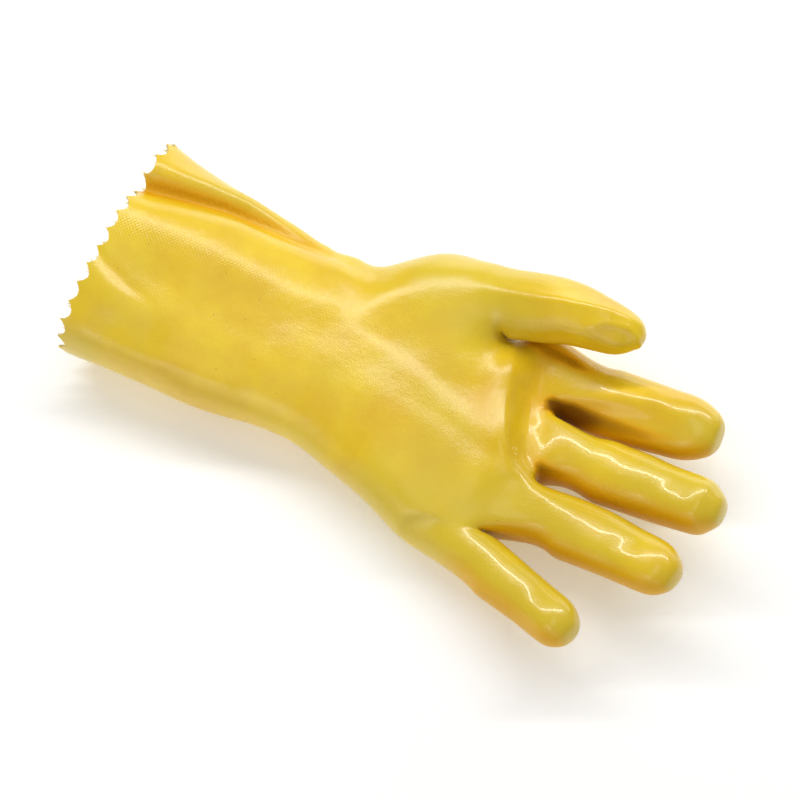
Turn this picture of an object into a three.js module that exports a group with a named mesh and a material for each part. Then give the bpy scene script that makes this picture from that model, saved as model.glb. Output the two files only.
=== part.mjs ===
// Dipped work glove for the left hand, lying on its back, as one hollow shell.
// Millimetres. +X runs from the open cuff to the fingertips, +Y to the thumb
// side and +Z up out of the palm. The origin ends up at the bottom centre.
import * as THREE from "three";

// Driving sizes
const LENGTH = 300;        // from the rim of the cuff to the tip of the middle finger
const CUFF_WIDTH = 112;    // across the open end
const CUFF_HEIGHT = 56;    // from the back to the palm side at the open end
const PALM_WIDTH = 112;    // across the knuckles
const PALM_HEIGHT = 34;    // through the palm
const WALL = 1.4;          // dipped coating with the knit bonded inside it
const TOOTH_DEPTH = 3.4;   // depth of the scallops of the pinked rim
const TEETH = 30;          // scallops round the rim
const SETTLE = 1.6;        // how far the soft back flattens on what it lies on
const MITRE_LIMIT = 1.6;   // most that a corner of the inside moves, in walls

// Layout of the cage
const COLUMNS = 20;        // round the sleeve and the palm
const RIM_SPLIT = 3;       // rim points to one column after smoothing
const ROUNDNESS = 2.3;     // exponent of the oval sections

// The coating pools in tight hollows: where the outside is hollow with a bend over
// POOL_FROM (fully from POOL_TO, both one over a radius in mm) it is eased in rounds
const POOL_ROUNDS = 20;
const POOL_SHARE = 0.5;
const POOL_FROM = 0.03;
const POOL_TO = 0.12;

// Places that are eased in the same rounds: at of LENGTH, side of PALM_WIDTH, reach in
// mm, and up, 1 where only the palm side is eased
const EASED = [
  { at: 0.57, side: 0.33, reach: 12, up: 1 },
  { at: 0.585, side: 0.24, reach: 12, up: 1 },
  { at: 0.59, side: 0.13, reach: 12, up: 1 },
  { at: 0.6, side: 0.39, reach: 8, up: 0 },
  { at: 0.695, side: 0.116, reach: 5, up: 0 },
];

// Sleeve sections from the rim to the wrist. Shares: at of LENGTH; shift and wide
// of CUFF_WIDTH; high and deep of CUFF_HEIGHT; spread opens the columns at the thumb.
// Lean is how far the little finger's side of a section stands out to the rim, in mm.
const SLEEVE = [
  { at: 0.0, shift: 0.018, high: 0.491, wide: 0.988, deep: 1.0, spread: 0, lean: 1.8 },
  { at: 0.0433, shift: -0.001, high: 0.482, wide: 0.944, deep: 0.979, spread: 0, lean: 3 },
  { at: 0.09, shift: -0.007, high: 0.468, wide: 0.91, deep: 0.95, spread: 0, lean: 1.2 },
  { at: 0.1433, shift: -0.017, high: 0.45, wide: 0.889, deep: 0.907, spread: 0 },
  { at: 0.1967, shift: -0.027, high: 0.429, wide: 0.86, deep: 0.857, spread: 0 },
  { at: 0.25, shift: -0.029, high: 0.407, wide: 0.824, deep: 0.814, spread: 0 },
  { at: 0.2967, shift: -0.025, high: 0.393, wide: 0.799, deep: 0.779, spread: 0.2 },
  { at: 0.34, shift: -0.015, high: 0.382, wide: 0.815, deep: 0.75, spread: 0.6 },
];

// Palm sections. Shares: at of LENGTH; shift and wide of PALM_WIDTH; high and deep of
// PALM_HEIGHT; knuckle leads over to the line where the fingers start.
const PALM = [
  { at: 0.3867, shift: -0.004, high: 0.612, wide: 0.855, deep: 1.2, spread: 1, knuckle: 0.1 },
  { at: 0.4867, shift: -0.042, high: 0.576, wide: 0.894, deep: 1.129, spread: 1, knuckle: 0.4 },
  { at: 0.5933, shift: -0.101, high: 0.547, wide: 0.922, deep: 1.071, spread: 1, knuckle: 0.8 },
  { at: 0.6333, shift: -0.111, high: 0.524, wide: 0.958, deep: 1.035, spread: 0.3, knuckle: 0.95 },
];

// Where the columns of the palm side go at the root of the thumb, from the thumb's side
// on: degrees round the section, and how firmly they are held there
const SPREAD = [
  { angle: -14, hold: 1 },
  { angle: 30, hold: 1 },
  { angle: 73, hold: 1 },
  { angle: 86, hold: 1 },
  { angle: 97, hold: 0.8 },
  { angle: 109, hold: 0.5 },
  { angle: 123, hold: 0.2 },
];
const THUMB_FIRST = 8;     // the section where the root of the thumb begins

// Knuckle line from the thumb side to the little finger's side: its two edges and
// three webs. Shares: at of LENGTH, side of PALM_WIDTH, rise of half the depth there.
const KNUCKLES = [
  { at: 0.66, side: 0.41, rise: 0.62 },
  { at: 0.6867, side: 0.121, rise: 0.86 },
  { at: 0.7163, side: -0.17, rise: 0.86 },
  { at: 0.6767, side: -0.452, rise: 0.72 },
  { at: 0.6, side: -0.6012, rise: 0.5 },
];
const KNUCKLE_HIGH = 0.5;  // share of PALM_HEIGHT
const KNUCKLE_DEEP = 0.97;

// Fingers. Shares: at and long of LENGTH; side, wide and thick of PALM_WIDTH; high of
// PALM_HEIGHT; crown is the rise of the knuckle line there; taper is the width left near
// the tip. Degrees: yaw, pitch, bend, curl, roll, and sway, the turn of the tip to the side.
const FINGERS = [
  { name: "index", crown: 0.95, at: 0.6785, side: 0.246, high: 0.53, yaw: 1.48, long: 0.2725, wide: 0.283,
    thick: 0.232, taper: 0.92, pitch: 4, bend: 10, curl: 8, sway: -3.5, roll: 20 },
  { name: "middle", crown: 1, at: 0.7, side: -0.026, high: 0.545, yaw: -0.6, long: 0.3007, wide: 0.246,
    thick: 0.232, taper: 0.94, pitch: 6, bend: 10, curl: 8, sway: -3.5, roll: 8 },
  { name: "ring", crown: 0.97, at: 0.6963, side: -0.2858, high: 0.56, yaw: -4, long: 0.2833, wide: 0.257,
    thick: 0.232, taper: 0.86, pitch: 8, bend: 10, curl: 8, sway: -8, roll: 0 },
  { name: "little", crown: 0.78, at: 0.6433, side: -0.5098, high: 0.53, yaw: -17.68, long: 0.2373, wide: 0.2092,
    thick: 0.205, taper: 0.888, pitch: 6, bend: 8, curl: 8, sway: -5.9, roll: -8 },
];
const FINGER_STATIONS = [0.2, 0.32, 0.44, 0.57, 0.7];   // shares of a finger's length
const FINGER_NECK = 0.94;   // share of the width kept at the first station
const TIP_STATIONS = [
  { back: 0.95, keep: 0.985 },   // back from the tip in half widths, share of the width kept
  { back: 0.44, keep: 0.8 },
  { back: 0.15, keep: 0.5 },
];

// Thumb sections. Shares: at of LENGTH; side, wide and thick of PALM_WIDTH; high of
// PALM_HEIGHT. Roll in degrees; toward is the direction the thumb runs in there.
const THUMB = [
  { at: 0.5633, side: 0.418, high: 1.02, wide: 0.35, thick: 0.28, roll: -12, toward: [0.85, 0.42, 0.32] },
  { at: 0.6, side: 0.43, high: 1.15, wide: 0.301, thick: 0.262, roll: -6, toward: [0.97, 0.12, 0.22] },
  { at: 0.64, side: 0.448, high: 1.275, wide: 0.273, thick: 0.25, roll: 0, toward: [0.97, 0.06, 0.22] },
  { at: 0.68, side: 0.455, high: 1.385, wide: 0.242, thick: 0.229, roll: 0, toward: [0.97, 0, 0.2] },
  { at: 0.7233, side: 0.442, high: 1.48, wide: 0.2052, thick: 0.196, roll: 0, toward: [0.97, -0.04, 0.2] },
  { at: 0.761, side: 0.436, high: 1.54, wide: 0.165, thick: 0.139, roll: 0, toward: [0.97, -0.1, 0.2] },
  { at: 0.7803, side: 0.439, high: 1.565, wide: 0.082, thick: 0.079, roll: 0, toward: [0.97, -0.1, 0.2] },
];
// The ring of the thumb's root: how far it is on its way to the first section, and how
// far it swells, in shares of PALM_WIDTH
const THUMB_ROOT = { reach: 0.45, swell: [0, 0.074, 0.01] };
const THUMB_TIP = { at: 0.787, side: 0.4375, high: 1.574 };

// Folds and dents, as strokes along a path seen from above the palm. Each point of a
// path is [at of LENGTH, side of PALM_WIDTH, reach to each side in mm, rise out of the
// surface in mm]; a valley has a negative rise.
const FOLDS = [
  {
    name: "sleeve valley",
    on: "hand",
    path: [
      [-0.03, 0.235, 10, -8.5],
      [0.02, 0.255, 9, -8.5],
      [0.087, 0.3, 8, -7.5],
      [0.16, 0.335, 6.5, -6],
      [0.25, 0.338, 5, -3.5],
      [0.335, 0.328, 4, -1.2],
    ],
  },
  {
    name: "upper lobe",
    on: "hand",
    path: [[-0.03, 0.45, 8, 1.5], [0.08, 0.45, 8, 2], [0.17, 0.42, 7, 2.5], [0.28, 0.385, 6, 2]],
  },
  {
    name: "lower lobe",
    on: "hand",
    path: [[-0.03, 0.06, 12, 2], [0.144, 0.08, 11, 2], [0.33, 0.09, 9, 1.2]],
  },
  {
    name: "finger roots hollow",
    on: "hand",
    path: [[0.66, 0.22, 7, -1.5], [0.665, 0.14, 7, -2.5], [0.685, 0.015, 7, -2.5], [0.7, -0.13, 6, -1.5]],
  },
  {
    name: "palm crest",
    on: "hand",
    path: [
      [0.6, 0.3, 8, 1.5],
      [0.62, 0.2, 8, 1.8],
      [0.635, 0.043, 7, 1.5],
      [0.657, -0.12, 6, 1.5],
      [0.687, -0.2, 6, 1.2],
      [0.738, -0.253, 6, 1],
      [0.797, -0.279, 6, 0.5],
    ],
  },
  {
    name: "thumb ridge",
    on: "thumb",
    path: [[0.54, 0.4, 6, 0.6], [0.63, 0.42, 5, 1], [0.71, 0.445, 5, 1], [0.765, 0.46, 4, 0.5]],
  },
];

const KIND = { thumb: 3 };   // each cage point is [x, y, z, share of the thumb in it]

function mix(a, b, t) {
  return a + (b - a) * t;
}

function mixPoints(p, q, t) {
  return p.map((value, i) => mix(value, q[i], t));
}

function smoothStep(from, to, value) {
  const t = Math.min(1, Math.max(0, (value - from) / (to - from)));
  return t * t * (3 - 2 * t);
}

function radians(degrees) {
  return degrees * Math.PI / 180;
}

// A point of an oval with half sizes a and b
function oval(angle, a, b, exponent = ROUNDNESS) {
  const c = Math.cos(angle);
  const s = Math.sin(angle);
  return [
    a * Math.sign(c) * Math.abs(c) ** (2 / exponent),
    b * Math.sign(s) * Math.abs(s) ** (2 / exponent),
  ];
}

// Angles that part an oval into equal arcs
function evenAngles(a, b, count) {
  const steps = 720;
  const walked = [0];
  let last = oval(0, a, b);
  for (let i = 1; i <= steps; i += 1) {
    const next = oval(2 * Math.PI * i / steps, a, b);
    walked.push(walked[i - 1] + Math.hypot(next[0] - last[0], next[1] - last[1]));
    last = next;
  }
  const angles = [];
  let i = 0;
  for (let k = 0; k < count; k += 1) {
    const goal = walked[steps] * k / count;
    while (walked[i + 1] < goal) {
      i += 1;
    }
    const part = (goal - walked[i]) / (walked[i + 1] - walked[i]);
    angles.push(2 * Math.PI * (i + part) / steps);
  }
  return angles;
}

// The ring of points where the palm ends and the fingers start
function knuckleRing() {
  const high = KNUCKLE_HIGH * PALM_HEIGHT;
  const deep = KNUCKLE_DEEP * PALM_HEIGHT / 2;
  const marks = KNUCKLES.map((row) => [row.at * LENGTH, row.side * PALM_WIDTH]);
  const inset = 0.036 * PALM_WIDTH;
  const crown = [];
  for (let i = 0; i < 4; i += 1) {
    const [x0, y0] = [marks[i][0], marks[i][1] - (i === 0 ? inset : 0)];
    const [x1, y1] = [marks[i + 1][0], marks[i + 1][1] + (i === 3 ? inset : 0)];
    if (i === 0) {
      crown.push([x0, y0, KNUCKLES[0].rise]);
    }
    crown.push([(x0 + x1) / 2 - 1, (y0 + y1) / 2, FINGERS[i].crown]);
    crown.push([x1, y1, KNUCKLES[i + 1].rise]);
  }
  const ring = [[marks[0][0], marks[0][1], high, 0]];
  for (const [x, y, rise] of crown) {
    ring.push([x, y, high + deep * rise, 0]);
  }
  ring.push([marks[4][0], marks[4][1], high, 0]);
  for (const [x, y, rise] of [...crown].reverse()) {
    ring.push([x - 4, y, high - deep * rise, 0]);
  }
  return ring;
}

// One section of the sleeve or the palm
function sectionRing(x, shift, high, a, b, { spread, knuckle = 0, lean = 0 }, knuckles) {
  const middle = (KNUCKLES[0].side + KNUCKLES[4].side) / 2 * PALM_WIDTH;
  const half = (KNUCKLES[0].side - KNUCKLES[4].side) / 2 * PALM_WIDTH;
  const level = KNUCKLE_HIGH * PALM_HEIGHT;
  const ring = [];
  evenAngles(a, b, COLUMNS).forEach((even, j) => {
    const hold = j < SPREAD.length ? SPREAD[j].hold * spread : 0;
    const angle = hold > 0 ? mix(even, radians(SPREAD[j].angle), hold) : even;
    const [dy, dz] = oval(angle, a, b);
    const [kx, ky, kz] = knuckles[j];
    const side = (ky - middle) / half;
    const rise = b * (kz - level) / (KNUCKLE_DEEP * PALM_HEIGHT / 2);
    const share = knuckle * (1 - hold);
    const lifted = share * share;
    ring.push([
      x + knuckle * (kx - 0.667 * LENGTH) * 0.95 + lean * Math.min(0, dy / a),
      shift + mix(dy, side * a, share),
      high + mix(dz, rise, lifted),
      0,
    ]);
  });
  return ring;
}

function mainRings() {
  const knuckles = knuckleRing();
  const rings = SLEEVE.map((row) => sectionRing(
    row.at * LENGTH, row.shift * CUFF_WIDTH, row.high * CUFF_HEIGHT,
    row.wide * CUFF_WIDTH / 2, row.deep * CUFF_HEIGHT / 2, row, knuckles,
  ));
  for (const row of PALM) {
    rings.push(sectionRing(
      row.at * LENGTH, row.shift * PALM_WIDTH, row.high * PALM_HEIGHT,
      row.wide * PALM_WIDTH / 2, row.deep * PALM_HEIGHT / 2, row, knuckles,
    ));
  }
  rings.push(knuckles);
  return rings;
}

// The frame of a cross-section: its side and its palm direction, rolled about the run
function crossFrame(run, roll) {
  const side = new THREE.Vector3(-run.y, run.x, 0).normalize();
  const rise = new THREE.Vector3().crossVectors(run, side);
  side.applyAxisAngle(run, radians(roll));
  rise.applyAxisAngle(run, radians(roll));
  return { side, rise };
}

// Stations along a finger that bends at its two inner joints
function fingerStations(row) {
  const length = row.long * LENGTH;
  const half = row.wide * PALM_WIDTH / 2;
  const depth = row.thick * PALM_WIDTH / 2;
  const wanted = FINGER_STATIONS.map((share, i) => (
    { s: share * length, keep: 1, neck: i === 0 ? FINGER_NECK : 1 }
  ));
  for (const tip of TIP_STATIONS) {
    wanted.push({ s: length - tip.back * half, keep: tip.keep, neck: 1 });
  }
  const steps = 60;
  const place = new THREE.Vector3(row.at * LENGTH, row.side * PALM_WIDTH, row.high * PALM_HEIGHT);
  const stations = [];
  let next = 0;
  for (let i = 0; i <= steps; i += 1) {
    const share = i / steps;
    const pitch = radians(row.pitch + row.bend * smoothStep(0.25, 0.5, share)
      + row.curl * smoothStep(0.6, 0.8, share));
    const yaw = radians(row.yaw + row.sway * smoothStep(0.3, 0.9, share));
    const run = new THREE.Vector3(
      Math.cos(pitch) * Math.cos(yaw),
      Math.cos(pitch) * Math.sin(yaw),
      Math.sin(pitch),
    );
    while (next < wanted.length && wanted[next].s <= share * length + 1e-9) {
      const { side, rise } = crossFrame(run, row.roll);
      const keep = wanted[next].keep * mix(1, row.taper, smoothStep(0.3, 0.85, share));
      const a = half * keep * wanted[next].neck;
      stations.push({ centre: place.clone(), side, rise, a, b: depth * keep });
      next += 1;
    }
    if (i < steps) {
      place.addScaledVector(run, length / steps);
    }
  }
  return { stations, tip: place, thumb: 0, root: null };
}

function thumbStations() {
  const stations = THUMB.map((row) => {
    const run = new THREE.Vector3(...row.toward).normalize();
    const { side, rise } = crossFrame(run, row.roll);
    const centre = new THREE.Vector3(row.at * LENGTH, row.side * PALM_WIDTH, row.high * PALM_HEIGHT);
    return { centre, side, rise, a: row.wide * PALM_WIDTH / 2, b: row.thick * PALM_WIDTH / 2 };
  });
  const tip = new THREE.Vector3(
    THUMB_TIP.at * LENGTH, THUMB_TIP.side * PALM_WIDTH, THUMB_TIP.high * PALM_HEIGHT,
  );
  return { stations, tip, thumb: 1, root: THUMB_ROOT };
}

// The eight points of a cross-section of a finger
function stationPoints({ centre, side, rise, a, b }, start, thumb) {
  return Array.from({ length: 8 }, (_, i) => {
    const [u, v] = oval(radians(start + 45 * i), a, b, 2.2);
    const p = centre.clone().addScaledVector(side, u).addScaledVector(rise, v);
    return [p.x, p.y, p.z, thumb];
  });
}

// Grows a tube of eight sides from a loop of the cage and closes its tip with four faces
function grow(points, faces, loop, { stations, tip, thumb, root }, start) {
  const rings = stations.map((station) => stationPoints(station, start, thumb));
  if (root) {
    rings.unshift(loop.map((at, i) => {
      const place = mixPoints(points[at], rings[0][i], root.reach);
      root.swell.forEach((share, c) => {
        place[c] += share * PALM_WIDTH;
      });
      return place;
    }));
  }
  let ring = loop;
  for (const section of rings) {
    const next = section.map((point) => points.push(point) - 1);
    for (let i = 0; i < 8; i += 1) {
      const k = (i + 1) % 8;
      faces.push([ring[i], ring[k], next[k], next[i]]);
    }
    ring = next;
  }
  const centre = points.length;
  points.push([tip.x, tip.y, tip.z, thumb]);
  for (let i = 0; i < 8; i += 2) {
    faces.push([ring[i], ring[i + 1], centre, ring[(i + 7) % 8]]);
  }
}

// The control cage of the whole outside
function cage() {
  const points = [];
  const faces = [];
  const rings = mainRings().map((ring) => ring.map((point) => points.push(point) - 1));
  for (let k = 0; k + 1 < rings.length; k += 1) {
    for (let j = 0; j < COLUMNS; j += 1) {
      const inThumb = k >= THUMB_FIRST && k < THUMB_FIRST + 2 && j < 2;
      if (!inThumb) {
        const n = (j + 1) % COLUMNS;
        faces.push([rings[k][j], rings[k][n], rings[k + 1][n], rings[k + 1][j]]);
      }
    }
  }
  const last = rings[rings.length - 1];
  const webs = KNUCKLES.map((row, i) => {
    if (i === 0 || i === 4) {
      return last[i === 0 ? 0 : 10];
    }
    return points.push([row.at * LENGTH + 0.5, row.side * PALM_WIDTH, KNUCKLE_HIGH * PALM_HEIGHT, 0]) - 1;
  });
  FINGERS.forEach((row, i) => {
    const loop = [
      last[2 * i + 1], last[2 * i + 2], last[2 * i + 3], webs[i + 1],
      last[17 - 2 * i], last[18 - 2 * i], last[19 - 2 * i], webs[i],
    ];
    grow(points, faces, loop, fingerStations(row), 45);
  });
  const [r0, r1, r2] = [rings[THUMB_FIRST], rings[THUMB_FIRST + 1], rings[THUMB_FIRST + 2]];
  grow(points, faces, [r0[0], r0[1], r0[2], r1[2], r2[2], r2[1], r2[0], r1[0]], thumbStations(), -45);
  return withoutLoose(points, faces);
}

// Drops the cage point that the root of the thumb leaves without a face
function withoutLoose(points, faces) {
  const used = new Set(faces.flat());
  const renamed = new Map();
  const kept = points.filter((point, i) => {
    if (used.has(i)) {
      renamed.set(i, renamed.size);
    }
    return used.has(i);
  });
  return { points: kept, faces: faces.map((face) => face.map((i) => renamed.get(i))) };
}

function edgeTable(faces) {
  const edges = new Map();
  faces.forEach((face, f) => {
    face.forEach((a, i) => {
      const b = face[(i + 1) % face.length];
      const key = a < b ? a * 65536 + b : b * 65536 + a;
      if (!edges.has(key)) {
        edges.set(key, { a: Math.min(a, b), b: Math.max(a, b), faces: [] });
      }
      edges.get(key).faces.push(f);
    });
  });
  return edges;
}

function blank(count) {
  return Array.from({ length: count }, () => [0, 0, 0, 0]);
}

function add(target, source, factor = 1) {
  for (let i = 0; i < target.length; i += 1) {
    target[i] += source[i] * factor;
  }
}

// One Catmull-Clark step; the open rim stays a smooth border
function smoothed({ points, faces }) {
  const edges = edgeTable(faces);
  const centres = faces.map((face) => {
    const sum = [0, 0, 0, 0];
    face.forEach((i) => add(sum, points[i], 1 / face.length));
    return sum;
  });
  const faceSum = blank(points.length);
  const edgeSum = blank(points.length);
  const rimSum = blank(points.length);
  const valence = new Array(points.length).fill(0);
  const onRim = new Array(points.length).fill(false);
  const middles = [];
  const names = new Map();
  for (const [key, { a, b, faces: sides }] of edges) {
    const half = mixPoints(points[a], points[b], 0.5);
    names.set(key, points.length + faces.length + middles.length);
    middles.push(sides.length === 2
      ? mixPoints(half, mixPoints(centres[sides[0]], centres[sides[1]], 0.5), 0.5)
      : half);
    for (const i of [a, b]) {
      add(edgeSum[i], half);
      valence[i] += 1;
      if (sides.length === 1) {
        add(rimSum[i], half);
        onRim[i] = true;
      }
    }
  }
  faces.forEach((face, f) => face.forEach((i) => add(faceSum[i], centres[f])));
  const moved = points.map((point, i) => point.map((value, c) => {
    if (onRim[i]) {
      return rimSum[i][c] / 4 + value / 2;
    }
    const n = valence[i];
    return (faceSum[i][c] / n + 2 * edgeSum[i][c] / n + (n - 3) * value) / n;
  }));
  const quads = [];
  faces.forEach((face, f) => {
    face.forEach((i, k) => {
      const before = face[(k + face.length - 1) % face.length];
      const after = face[(k + 1) % face.length];
      const key = (p, q) => (p < q ? p * 65536 + q : q * 65536 + p);
      quads.push([i, names.get(key(i, after)), points.length + f, names.get(key(before, i))]);
    });
  });
  return { points: [...moved, ...centres, ...middles], faces: quads };
}

// Where each point of a cage of quads lands on the smooth surface
function landed({ points, faces }) {
  const around = blank(points.length);
  const across = blank(points.length);
  const rim = blank(points.length);
  const valence = new Array(points.length).fill(0);
  const onRim = new Array(points.length).fill(false);
  for (const { a, b, faces: sides } of edgeTable(faces).values()) {
    for (const [i, other] of [[a, b], [b, a]]) {
      add(around[i], points[other]);
      valence[i] += 1;
      if (sides.length === 1) {
        add(rim[i], points[other]);
        onRim[i] = true;
      }
    }
  }
  faces.forEach((face) => face.forEach((i, k) => add(across[i], points[face[(k + 2) % 4]])));
  return points.map((point, i) => point.map((value, c) => {
    if (onRim[i]) {
      return (4 * value + rim[i][c]) / 6;
    }
    const n = valence[i];
    return (n * n * value + 4 * around[i][c] + across[i][c]) / (n * (n + 5));
  }));
}

// Moves the cage out until the smooth surface passes through the section points
function fitted({ points, faces }) {
  let moved = points;
  for (let round = 0; round < 6; round += 1) {
    const lands = landed({ points: moved, faces });
    moved = moved.map((point, i) => point.map((value, c) => value + 0.9 * (points[i][c] - lands[i][c])));
  }
  return { points: moved, faces };
}

// Eases the surface where it is hollow and tight
function pooled({ points, faces }) {
  const edges = [...edgeTable(faces).values()];
  let moved = points;
  for (let round = 0; round < POOL_ROUNDS; round += 1) {
    const normals = normalsOf({ points: moved, faces });
    const mean = blank(points.length);
    const span = new Array(points.length).fill(0);
    const valence = new Array(points.length).fill(0);
    const onRim = new Array(points.length).fill(false);
    for (const { a, b, faces: sides } of edges) {
      const length = Math.hypot(...[0, 1, 2].map((c) => moved[a][c] - moved[b][c]));
      for (const [i, other] of [[a, b], [b, a]]) {
        add(mean[i], moved[other]);
        span[i] += length;
        valence[i] += 1;
        onRim[i] = onRim[i] || sides.length === 1;
      }
    }
    moved = moved.map((point, i) => {
      const pull = [0, 1, 2].map((c) => mean[i][c] / valence[i] - point[c]);
      const n = normals[i];
      const out = pull[0] * n.x + pull[1] * n.y + pull[2] * n.z;
      const bend = 2 * out / (span[i] / valence[i]) ** 2;
      let share = smoothStep(POOL_FROM, POOL_TO, bend);
      for (const { at, side, reach, up } of EASED) {
        const away = Math.hypot(point[0] - at * LENGTH, point[1] - side * PALM_WIDTH);
        const facing = Math.min(1, Math.max(1 - up, (n.z + 0.5) / 0.8));
        share = Math.max(share, facing * Math.exp(-((away / reach) ** 2)));
      }
      share *= onRim[i] ? 0 : POOL_SHARE;
      return [...pull.map((value, c) => point[c] + share * value), point[3]];
    });
  }
  return { points: moved, faces };
}

// Outward unit normals at the points of a surface of quads
function normalsOf({ points, faces }) {
  const sums = points.map(() => new THREE.Vector3());
  const [u, v, w] = [new THREE.Vector3(), new THREE.Vector3(), new THREE.Vector3()];
  for (const face of faces) {
    const [a, b, c, d] = face.map((i) => points[i]);
    u.set(c[0] - a[0], c[1] - a[1], c[2] - a[2]);
    v.set(d[0] - b[0], d[1] - b[1], d[2] - b[2]);
    w.crossVectors(u, v);
    face.forEach((i) => sums[i].add(w));
  }
  return sums.map((sum) => sum.normalize());
}

// The nearest place on a fold's path: how far away it is, and its reach and rise
function nearestOnPath(path, x, y) {
  let best = { away: Infinity, reach: 1, rise: 0 };
  for (let i = 0; i + 1 < path.length; i += 1) {
    const [ax, ay] = [path[i][0] * LENGTH, path[i][1] * PALM_WIDTH];
    const [dx, dy] = [path[i + 1][0] * LENGTH - ax, path[i + 1][1] * PALM_WIDTH - ay];
    const along = ((x - ax) * dx + (y - ay) * dy) / (dx * dx + dy * dy);
    const t = Math.min(1, Math.max(0, along));
    const away = Math.hypot(x - ax - t * dx, y - ay - t * dy);
    if (away < best.away) {
      best = { away, reach: mix(path[i][2], path[i + 1][2], t), rise: mix(path[i][3], path[i + 1][3], t) };
    }
  }
  return best;
}

// How far the folds lift the surface at a point
function foldRise(point, normal) {
  const facing = smoothStep(-0.6, 0.1, normal.z);
  let total = 0;
  for (const fold of FOLDS) {
    const { away, reach, rise } = nearestOnPath(fold.path, point[0], point[1]);
    const share = fold.on === "thumb" ? point[KIND.thumb] : 1 - point[KIND.thumb];
    total += facing * share * rise * Math.exp(-((away / reach) ** 2));
  }
  return total;
}

// The outside with its folds, settled on the ground
function outside() {
  const once = pooled(smoothed(fitted(cage())));
  const surface = { points: landed(once), faces: once.faces };
  const normals = normalsOf(surface);
  const folded = surface.points.map((point, i) => {
    const rise = foldRise(point, normals[i]);
    const n = normals[i];
    return [point[0] + n.x * rise, point[1] + n.y * rise, point[2] + n.z * rise, point[3]];
  });
  const ground = Math.min(...folded.map((point) => point[2])) + SETTLE;
  const points = folded.map((point) => [point[0], point[1], Math.max(0, point[2] - ground), point[3]]);
  return { points, faces: surface.faces };
}

// The rim in order round the cuff, each point with the one behind it in the sleeve
function rimLoop(faces) {
  const next = new Map();
  const behind = new Map();
  for (const { a, b, faces: sides } of edgeTable(faces).values()) {
    if (sides.length === 1) {
      const face = faces[sides[0]];
      const i = face.indexOf(a);
      const forward = face[(i + 1) % 4] === b;
      const [from, to] = forward ? [a, b] : [b, a];
      const k = face.indexOf(from);
      next.set(from, to);
      behind.set(from, face[(k + 3) % 4]);
    }
  }
  const start = Math.min(...next.keys());
  const loop = [start];
  while (next.get(loop[loop.length - 1]) !== start) {
    loop.push(next.get(loop[loop.length - 1]));
  }
  return { loop, behind: loop.map((i) => behind.get(i)) };
}

// A point between the second and third of four, on a curve through them
function between(p, t) {
  return p[0].map((_, c) => {
    const [a, b, d, e] = p.map((point) => point[c]);
    return 0.5 * (2 * b + (d - a) * t + (2 * a - 5 * b + 4 * d - e) * t * t
      + (3 * b - a - 3 * d + e) * t ** 3);
  });
}

// Depth of the pinking at a place round the rim, counted in scallops
function scallop(place) {
  const tooth = Math.floor(place + 1e-9);
  const uneven = 1 + 0.16 * Math.sin(tooth * 2.4) * Math.cos(tooth * 0.9);
  return TOOTH_DEPTH * uneven * Math.abs(Math.sin(Math.PI * place)) ** 0.8;
}

// Cuts the scallops into the last band of faces and closes the shell
function shell() {
  const surface = outside();
  const normals = normalsOf(surface);
  const { loop, behind } = rimLoop(surface.faces);
  const count = loop.length;
  const points = surface.points.map((point) => point.slice(0, 3));
  const directions = normals.map((n) => n.toArray());
  const inBand = new Set(loop);
  const triangles = [];
  for (const face of surface.faces) {
    if (!face.some((i) => inBand.has(i))) {
      triangles.push(...split(face, points));
    }
  }
  const around = (list, i) => [-1, 0, 1, 2].map((k) => list[(i + k + count) % count]);
  const rim = [];
  for (let i = 0; i < count; i += 1) {
    for (let k = 0; k < RIM_SPLIT; k += 1) {
      const t = k / RIM_SPLIT;
      const edge = between(around(loop, i).map((q) => points[q]), t);
      const back = between(around(behind, i).map((q) => points[q]), t);
      const direction = between(around(loop, i).map((q) => directions[q]), t);
      const cut = scallop((i + t) / count * TEETH) / Math.hypot(...edge.map((v, c) => v - back[c]));
      const place = mixPoints(edge, back, cut);
      place[2] = Math.max(0, place[2]);
      rim.push(points.push(place) - 1);
      directions.push(new THREE.Vector3(...direction).normalize().toArray());
    }
  }
  for (let i = 0; i < count; i += 1) {
    const [a, b] = [behind[i], behind[(i + 1) % count]];
    const part = Array.from({ length: RIM_SPLIT + 1 }, (_, k) => rim[(i * RIM_SPLIT + k) % rim.length]);
    const turn = Math.ceil(RIM_SPLIT / 2);
    for (let k = 0; k < RIM_SPLIT; k += 1) {
      triangles.push([part[k], part[k + 1], k < turn ? a : b]);
    }
    triangles.push([part[turn], b, a]);
  }
  return closed(points, directions, triangles, rim, new Set(loop));
}

// Two triangles of a quad, cut along its shorter diagonal
function split([a, b, c, d], points) {
  const span = (p, q) => Math.hypot(...points[p].map((value, i) => value - points[q][i]));
  return span(a, c) <= span(b, d) ? [[a, b, c], [a, c, d]] : [[a, b, d], [b, c, d]];
}

// How much further a point moves inward so that the faces round it keep one wall
function mitres(points, directions, triangles) {
  const sums = points.map(() => 0);
  const shares = points.map(() => 0);
  const [u, v, w] = [new THREE.Vector3(), new THREE.Vector3(), new THREE.Vector3()];
  for (const triangle of triangles) {
    const [a, b, c] = triangle.map((i) => points[i]);
    u.set(b[0] - a[0], b[1] - a[1], b[2] - a[2]);
    v.set(c[0] - a[0], c[1] - a[1], c[2] - a[2]);
    w.crossVectors(u, v);
    const area = w.length();
    w.normalize();
    triangle.forEach((i) => {
      const [x, y, z] = directions[i];
      sums[i] += area * (x * w.x + y * w.y + z * w.z);
      shares[i] += area;
    });
  }
  return sums.map((sum, i) => (shares[i] > 0 ? Math.min(MITRE_LIMIT, shares[i] / Math.max(sum, 1e-6)) : 1));
}

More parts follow.
